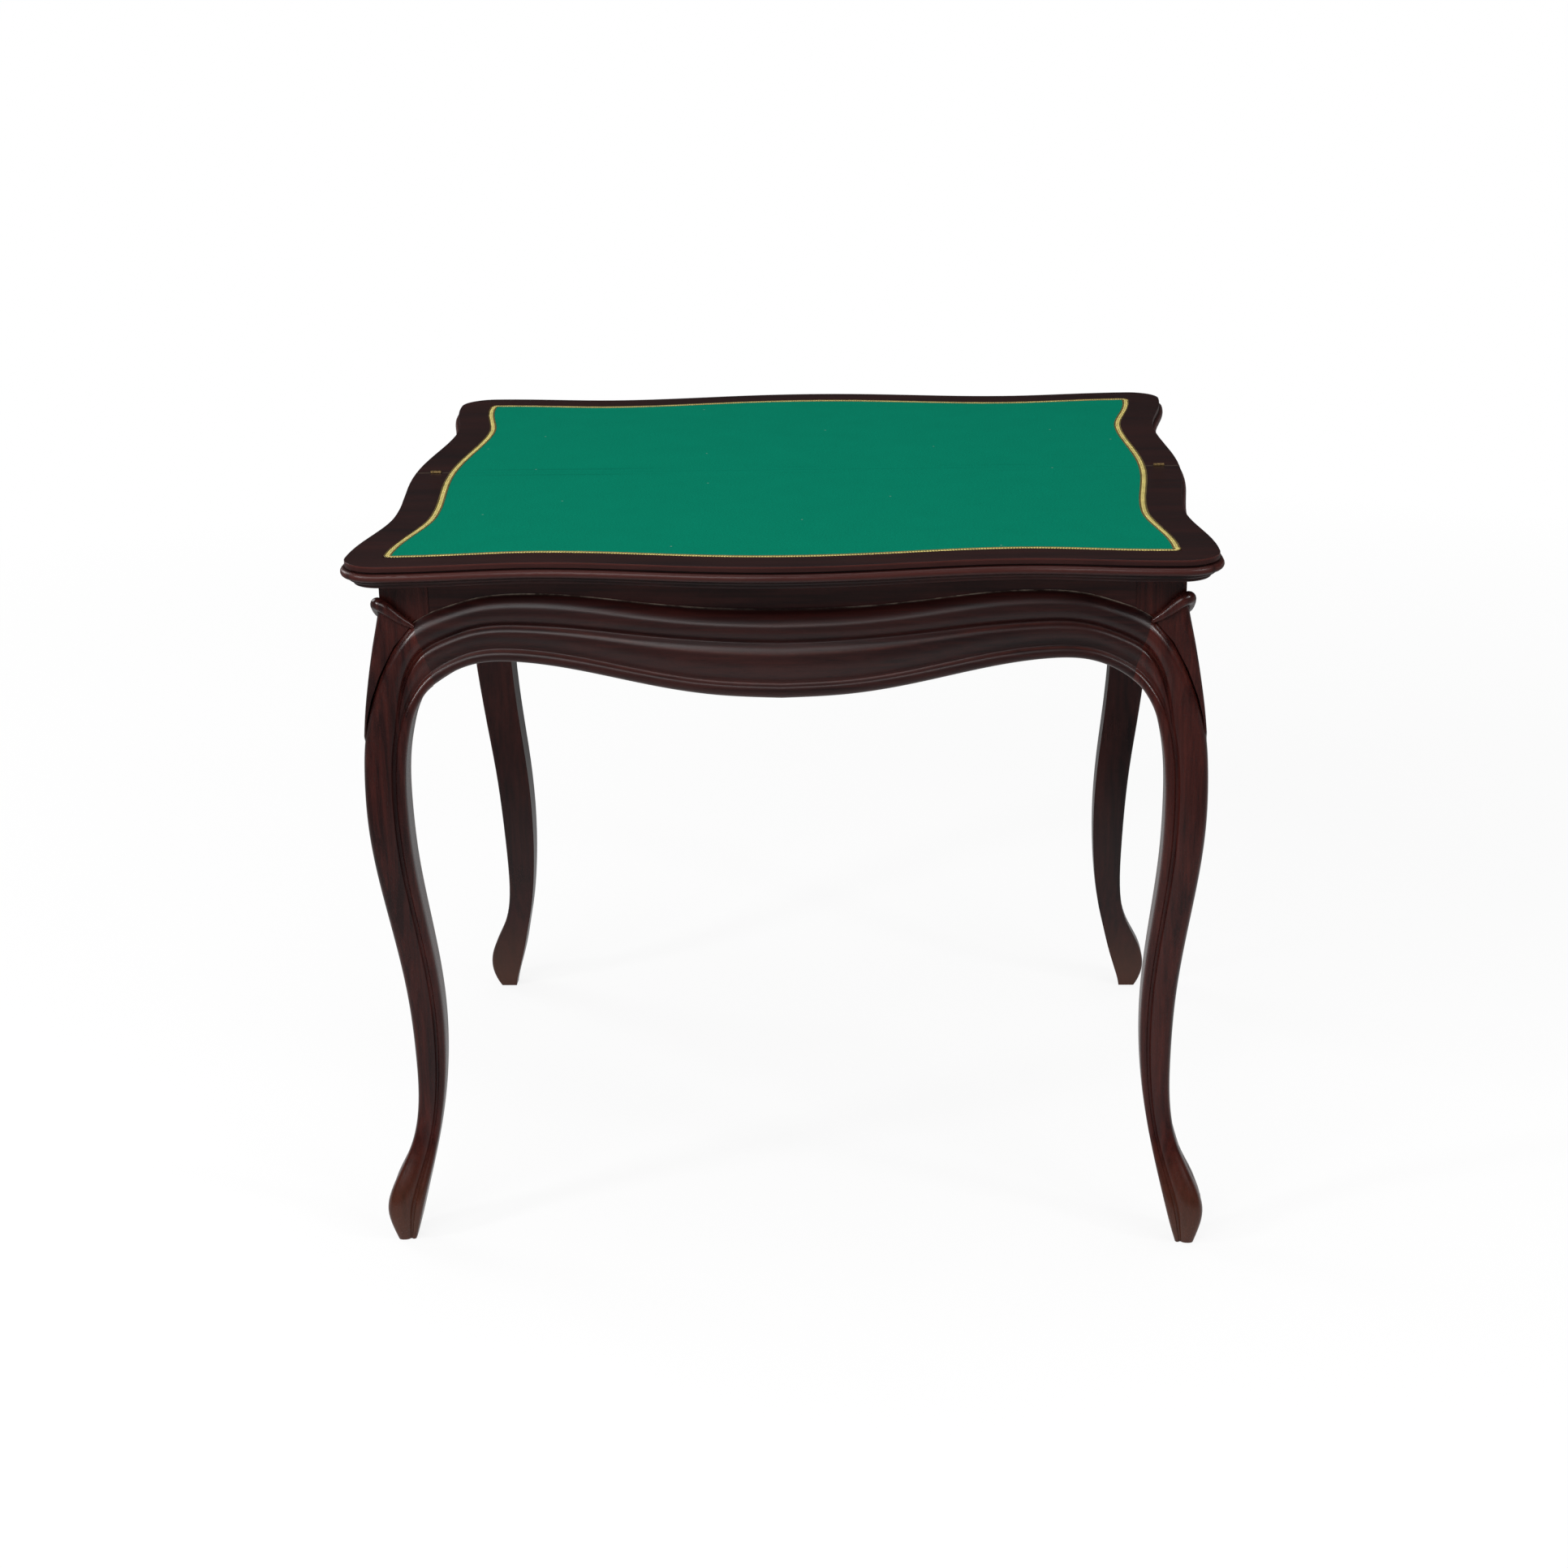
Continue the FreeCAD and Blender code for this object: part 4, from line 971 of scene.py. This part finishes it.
def cloth(node, name, made_of):
    """Baize laid in its recess, a thin closed sheet whose pile is never quite level, and the area
    of its upper face."""
    fold, right, outer, left = rim_sides(node)
    spacing = sizes().cloth_spacing
    wide = int(np.ptp(fold[:, 0]) / spacing)
    deep = int(np.ptp(right[:, 1]) / spacing)
    low = even(fold, wide)
    high = even(outer, wide)[::-1]
    first = even(left, deep)[::-1]
    last = even(right, deep)
    u = np.linspace(0, 1, wide)[None, :, None]
    v = np.linspace(0, 1, deep)[:, None, None]
    grid = (1 - v) * low[None] + v * high[None] + (1 - u) * first[:, None] + u * last[:, None]
    grid -= ((1 - u) * (1 - v) * low[0] + u * (1 - v) * low[-1]
             + (1 - u) * v * high[0] + u * v * high[-1])
    x, y = grid[..., 0], grid[..., 1]
    ripple = np.sin(x * 23 + 1.3 * np.sin(y * 17)) * np.sin(y * 29 + np.cos(x * 13))
    crease = mound(np.abs(y), CREASE_PLACE, CREASE_WIDTH) * np.clip(np.sin(x * 8 + 0.8) - 0.2, 0, 1)
    grid[..., 2] += ripple * RIPPLE_HEIGHT - crease * CREASE_DEPTH
    under = grid.copy()
    under[..., 2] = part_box(node)[0][2]
    points = np.concatenate([grid.reshape(-1, 3), under.reshape(-1, 3)]) / MM
    count = wide * deep
    faces = []
    for row in range(deep - 1):
        for column in range(wide - 1):
            a = row * wide + column
            faces.append((a, a + 1, a + wide + 1, a + wide))
            faces.append((count + a, count + a + wide, count + a + wide + 1, count + a + 1))
    edge = [*range(wide), *range(2 * wide - 1, count, wide),
            *range(count - 2, count - wide - 1, -1), *range(count - 2 * wide, 0, -wide)]
    for here, after in zip(edge, edge[1:] + edge[:1]):
        faces.append((here, count + here, count + after, after))
    made = piece(name, points, faces, made_of, CLOTH_SHARP)
    area = sum(face.area for face in made.data.polygons if face.normal.z > 0.7)
    return made, area


class OBJECT_OT_table_baize(bpy.types.Operator):
    """Baize of both leaves"""
    bl_idname = "object.table_baize"
    bl_label = "Baize"

    def execute(self, context):
        green = finish("green_baize", baize_cloth)
        for node, leaf, body in (("lower_baize", "lower_leaf", "front_frame"),
                                 ("upper_baize", "upper_leaf", "upper_leaf")):
            made, area = cloth(node, node + "_cloth", green)
            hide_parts(node)
            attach(made, body)
        return {"FINISHED"}


# Gilt braid, in metres: its width, the height of its middle over the recess and the sizes that a
# user has no need to change
BRAID_WIDTH = 0.0076
BRAID_SEAT = 0.0011
BRAID_SIZES = {
    "Plait width": 0.0018, "Plait height": 0.0009, "Half width": 0.0022, "Edge radius": 0.00055}

# Points along each side of the braid's line, how much further out a mitred corner lies, and the
# turn between two points that counts as a whole corner
SIDE_POINTS = 160
MITRE_REACH = 0.41
CORNER_TURN = 0.7

# Places of the plaits and edge cords and breadth of the ribbon, in half widths, rise of the ribbon
# as a share of the plaits' height, and slant of the plaits in degrees
PLAIT_PLACE = 0.46
CORD_PLACE = 1.57
RIBBON_BREADTH = 3.3
RIBBON_RISE = 0.35
PLAIT_SLANT = 38


def braid_line(node):
    """Middle of the braid, from one end of the fold to the other."""
    cloth_node = node.replace("braid", "baize")
    inside = [even(run, SIDE_POINTS) for run in rim_sides(cloth_node)[1:]]
    run = np.concatenate([inside[0], inside[1][1:], inside[2][1:]])
    along = directions(run)
    outward = np.stack([along[:, 1], -along[:, 0], np.zeros(len(run))], axis=1)
    outward *= np.sign((outward * (run - run.mean(axis=0))).sum())
    corner = np.linalg.norm(np.diff(along, axis=0, append=along[-1:]), axis=1)
    spread = 1 + MITRE_REACH * np.clip(corner / CORNER_TURN, 0, 1)
    return run + outward * (BRAID_WIDTH / 2 * spread)[:, None]


def braid_tree(values):
    """Geometry tree of the braid: a low domed ribbon, a cord on each edge and slanting plaits."""
    tree = bpy.data.node_groups.new("Gilt braid", "GeometryNodeTree")
    face = tree.interface
    face.new_socket("Geometry", in_out="INPUT", socket_type="NodeSocketGeometry")
    for name, value in values.items():
        if isinstance(value, float):
            socket = face.new_socket(name, in_out="INPUT", socket_type="NodeSocketFloat")
            socket.default_value = value
        else:
            face.new_socket(name, in_out="INPUT", socket_type="NodeSocketMaterial")
    face.new_socket("Geometry", in_out="OUTPUT", socket_type="NodeSocketGeometry")

    start = Wire(tree)
    sockets = tree.nodes.new("NodeGroupInput").outputs
    given = {socket.name: Wire(tree, socket) for socket in sockets}
    half, rise = given["Half width"], given["Plait height"]

    def swept(profile):
        return start.add("GeometryNodeCurveToMesh", None, {
            "Curve": line, "Profile Curve": profile, "Fill Caps": True})

    line = start.add("GeometryNodeMeshToCurve", None, {"Mesh": given["Geometry"]}, out="Curve")
    steps = start.add("GeometryNodeResampleCurve", {"mode": "LENGTH"}, {
        "Curve": line, "Length": given["Pitch"]}, out="Curve")
    tangent = start.add("GeometryNodeInputTangent")
    turn = start.add("FunctionNodeAlignRotationToVector", {"axis": "X"}, {"Vector": tangent})
    ball = start.add("GeometryNodeMeshUVSphere", None, {
        "Segments": 8, "Rings": 5, "Radius": 0.5}, out="Mesh")
    shape = start.add("ShaderNodeCombineXYZ", None, {
        "X": given["Plait length"], "Y": given["Plait width"], "Z": rise})
    ring = start.add("GeometryNodeCurvePrimitiveCircle", None, {
        "Resolution": 8, "Radius": given["Edge radius"]})
    oval = start.add("GeometryNodeCurvePrimitiveCircle", None, {"Resolution": 16, "Radius": 0.5})
    dome = start.add("ShaderNodeCombineXYZ", None, {
        "X": half * RIBBON_BREADTH, "Y": rise * RIBBON_RISE, "Z": 1.0})
    plaits = []
    dull = [swept(start.add("GeometryNodeTransform", None, {"Geometry": oval, "Scale": dome}))]
    for side in (1, -1):
        place = start.add("ShaderNodeCombineXYZ", None, {"Y": half * (PLAIT_PLACE * side)})
        plait = start.add("GeometryNodeTransform", None, {
            "Geometry": ball, "Translation": place, "Scale": shape,
            "Rotation": (0, 0, math.radians(-PLAIT_SLANT * side))})
        plaits.append(start.add("GeometryNodeInstanceOnPoints", None, {
            "Points": steps, "Instance": plait, "Rotation": turn}))
        place = start.add("ShaderNodeCombineXYZ", None, {"X": half * (CORD_PLACE * side)})
        dull.append(swept(start.add("GeometryNodeTransform", None, {
            "Geometry": ring, "Translation": place})))
    threads = []
    for name, parts in (("Gilt", plaits), ("Olive", dull)):
        whole = start.add("GeometryNodeJoinGeometry", None, {0: parts})
        solid = start.add("GeometryNodeRealizeInstances", None, {"Geometry": whole})
        smooth = start.add("GeometryNodeSetShadeSmooth", None, {"Geometry": solid})
        threads.append(start.add("GeometryNodeSetMaterial", None, {
            "Geometry": smooth, "Material": given[name]}))
    braid = start.add("GeometryNodeJoinGeometry", None, {0: threads})
    start.add("NodeGroupOutput", None, {"Geometry": braid})
    return tree


def woven(name, run, values):
    """A plain mesh from the braid tree along a line of points."""
    mesh = bpy.data.meshes.new(name + "_line")
    mesh.from_pydata(run.tolist(), [(index, index + 1) for index in range(len(run) - 1)], [])
    guide = placed(name, mesh)
    modifier = guide.modifiers.new("Braid", "NODES")
    modifier.node_group = bpy.data.node_groups.get("Gilt braid") or braid_tree(values)
    for item in modifier.node_group.interface.items_tree:
        if item.in_out == "INPUT" and item.name in values:
            modifier[item.identifier] = values[item.name]
    ready = guide.evaluated_get(bpy.context.evaluated_depsgraph_get())
    solid = bpy.data.meshes.new_from_object(ready)
    guide.modifiers.remove(modifier)
    guide.data = solid
    return guide


class OBJECT_OT_table_braid(bpy.types.Operator):
    """Gilt braid around the baize of both leaves"""
    bl_idname = "object.table_braid"
    bl_label = "Gilt braid"

    def execute(self, context):
        tone = colours()
        size = sizes()
        gilt = finish("gilt_thread", lambda name: thread(
            name, tone.gilt, shaded(tone.gilt, 0.6), 0.1))
        olive = finish("olive_thread", lambda name: thread(
            name, tone.olive, shaded(tone.olive, 0.5), 0.0))
        values = {"Pitch": size.braid_pitch, "Plait length": size.braid_grain, **BRAID_SIZES,
                  "Gilt": gilt, "Olive": olive}
        for node, body in (("lower_braid", "front_frame"), ("upper_braid", "upper_leaf")):
            run = braid_line(node)
            run[:, 2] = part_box(node)[0][2] + BRAID_SEAT
            made = woven(node + "_plaited", run, values)
            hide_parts(node)
            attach(made, body)
        return {"FINISHED"}


# Finishes of the parts that keep their shape

class OBJECT_OT_table_wood(bpy.types.Operator):
    """Finishes of the wooden parts that keep their shape"""
    bl_idname = "object.table_wood"
    bl_label = "Wood finishes"

    def execute(self, context):
        for node in nodes_of("mahogany"):
            repaint(node, wood_for(node))
        for node in nodes_of("inner_wood"):
            along = longest_axis(node)
            repaint(node, finish(
                "plain_wood_" + along.lower(), lambda name: plain_wood(name, along)))
        return {"FINISHED"}


class OBJECT_OT_table_metal(bpy.types.Operator):
    """Finishes of the hinges, pins and screws"""
    bl_idname = "object.table_metal"
    bl_label = "Metal finishes"

    def execute(self, context):
        tone = colours()
        brass = finish("aged_brass", lambda name: aged_metal(
            name, tone.brass, shaded(tone.brass, 0.42), 0.30))
        steel = finish("worn_steel", lambda name: aged_metal(
            name, tone.steel, shaded(tone.steel, 0.45), 0.34))
        for slot, made in (("brass", brass), ("steel", steel)):
            for node in nodes_of(slot):
                repaint(node, made)
        return {"FINISHED"}


# Stage, in metres, watts and degrees. Each lamp has its place, the point that it faces, its size
# and its power.

LAMPS = {
    "key": ((-1.2, -3.0, 2.7), (0, 0, 0.5), (2.4, 1.3), 58),
    "left": ((-2.4, -1.5, 2.1), (-0.4, -0.38, 0.65), (0.36, 0.6), 30),
    "right": ((2.4, -1.4, 2.2), (0.4, -0.38, 0.65), (0.36, 0.6), 18),
    "fill": ((2.2, -2.4, 2.9), (0, 0, 0.5), (1.0, 1.0), 20),
    "top": ((0.2, 0.4, 3.3), (0, 0, 0.6), (2.2, 2.2), 27),
    "back": ((-2.8, 1.6, 2.0), (0, 0, 0.5), (1.2, 1.2), 30),
}
FLOOR_REACH = 60
CAMERA_PLACE = (0.145, -3.045, 1.454)
CAMERA_PITCH = 19.34
CAMERA_YAW = 3.11
CAMERA_ROLL = -1.28
CAMERA_LENS = 63.22


def lamp(name, place, target, size, power):
    data = bpy.data.lights.new(name, "AREA")
    data.shape = "RECTANGLE"
    data.size, data.size_y = size
    data.energy = power
    made = placed(name, data)
    made.location = place
    made.rotation_euler = (Vector(target) - Vector(place)).to_track_quat("-Z", "Y").to_euler()


def light_path(start, kind):
    return start.add("ShaderNodeLightPath", out="Is " + kind + " Ray")


def seen_directly(start):
    """1 for rays that show the backdrop itself, in the picture, a polished surface or glass."""
    polished = start.maths("MAXIMUM", light_path(start, "Camera"), light_path(start, "Glossy"))
    return start.maths("MAXIMUM", polished, light_path(start, "Transmission"))


def white(start, kind, strength):
    return start.add(kind, None, {"Color": WHITE, "Strength": strength})


def mix(start, share, first, second):
    return start.add("ShaderNodeMixShader", None, {0: share, 1: first, 2: second})


def studio_floor():
    """Pale floor that keeps the object's shadow, turns white further off and is dim in a polish."""
    mesh = bpy.data.meshes.new("studio_floor")
    corners = ((-1, -1), (1, -1), (1, 1), (-1, 1))
    mesh.from_pydata(
        [(x * FLOOR_REACH, y * FLOOR_REACH, 0) for x, y in corners], [], [(0, 1, 2, 3)])
    made, start = material("studio_floor")
    paper = start.add("ShaderNodeBsdfDiffuse", None, {"Color": colours().floor})
    glow, near, far = (white(start, "ShaderNodeEmission", power) for power in (1.0, 0.6, 0.2))
    here = start.add("ShaderNodeTexCoord", out="Object")
    away = start.add("ShaderNodeVectorMath", {"operation": "LENGTH"}, {0: here}, out="Value") / 10
    pale = 0.86 + away.ramp((0.12, 0.0), (0.32, 1.0)) * 0.14
    direct = mix(start, seen_directly(start) * pale, paper, glow)
    mirrored = mix(start, away.ramp((0.06, 0.0), (0.18, 1.0)), near, far)
    whole = mix(start, light_path(start, "Glossy"), direct, mirrored)
    start.add("ShaderNodeOutputMaterial", None, {"Surface": whole})
    mesh.materials.append(made)
    floor = placed("studio_floor", mesh)


def studio_world():
    """White to look at, darker overhead in a polished surface, and even light on the object."""
    world = bpy.data.worlds.new("studio")
    world.use_nodes = True
    world.node_tree.nodes.clear()
    start = Wire(world.node_tree)
    here = start.add("ShaderNodeTexCoord", out="Generated")
    height = start.add("ShaderNodeSeparateXYZ", None, {0: here}, out="Z")
    glow, dark, soft = (white(start, "ShaderNodeBackground", power) for power in (1.0, 0.03, 0.34))
    mirrored = mix(start, height.ramp((0.0, 0.3), (0.05, 1.0)), glow, dark)
    direct = mix(start, light_path(start, "Camera"), mirrored, glow)
    whole = mix(start, seen_directly(start), soft, direct)
    start.add("ShaderNodeOutputWorld", None, {"Surface": whole})
    bpy.context.scene.world = world


def studio_camera():
    data = bpy.data.cameras.new("camera")
    data.sensor_width = 36
    data.lens = CAMERA_LENS
    data.clip_end = 200
    made = placed("camera", data)
    yaw, tilt, roll = (
        Matrix.Rotation(math.radians(angle), 4, axis)
        for angle, axis in ((CAMERA_YAW, "Z"), (90 - CAMERA_PITCH, "X"), (CAMERA_ROLL, "Z")))
    made.matrix_world = Matrix.Translation(CAMERA_PLACE) @ (yaw @ tilt @ roll)
    bpy.context.scene.camera = made


class OBJECT_OT_table_stage(bpy.types.Operator):
    """Pale floor, soft studio light and the camera"""
    bl_idname = "object.table_stage"
    bl_label = "Stage"

    def execute(self, context):
        context.scene.view_settings.view_transform = "Standard"
        studio_floor()
        studio_world()
        studio_camera()
        for name, settings in LAMPS.items():
            lamp(name, *settings)
        return {"FINISHED"}


class VIEW3D_PT_game_table(bpy.types.Panel):
    """Pieces of the folding game table"""
    bl_label = "Folding game table"
    bl_space_type = "VIEW_3D"
    bl_region_type = "UI"
    bl_category = "Game Table"

    def draw(self, context):
        for group in (context.scene.table_sizes, context.scene.table_colours):
            for name in group.__annotations__:
                self.layout.prop(group, name)
        for operator in OPERATORS:
            self.layout.operator(operator.bl_idname)


OPERATORS = (
    OBJECT_OT_table_stage, OBJECT_OT_table_wood, OBJECT_OT_table_metal,
    OBJECT_OT_table_eased_edges, OBJECT_OT_table_carved_legs, OBJECT_OT_table_carved_apron,
    OBJECT_OT_table_baize, OBJECT_OT_table_braid,
)
CLASSES = (TableSizes, TableColours, *OPERATORS, VIEW3D_PT_game_table)


def register():
    for item in CLASSES:
        bpy.utils.register_class(item)
    bpy.types.Scene.table_sizes = PointerProperty(type=TableSizes)
    bpy.types.Scene.table_colours = PointerProperty(type=TableColours)


def unregister():
    del bpy.types.Scene.table_colours
    del bpy.types.Scene.table_sizes
    for item in reversed(CLASSES):
        bpy.utils.unregister_class(item)


def main():
    register()
    bpy.ops.object.table_stage()
    bpy.ops.object.table_wood()
    bpy.ops.object.table_metal()
    bpy.ops.object.table_eased_edges()
    bpy.ops.object.table_carved_legs()
    bpy.ops.object.table_carved_apron()
    bpy.ops.object.table_baize()
    bpy.ops.object.table_braid()
    bpy.context.view_layer.update()


if __name__ == "__main__":
    main()
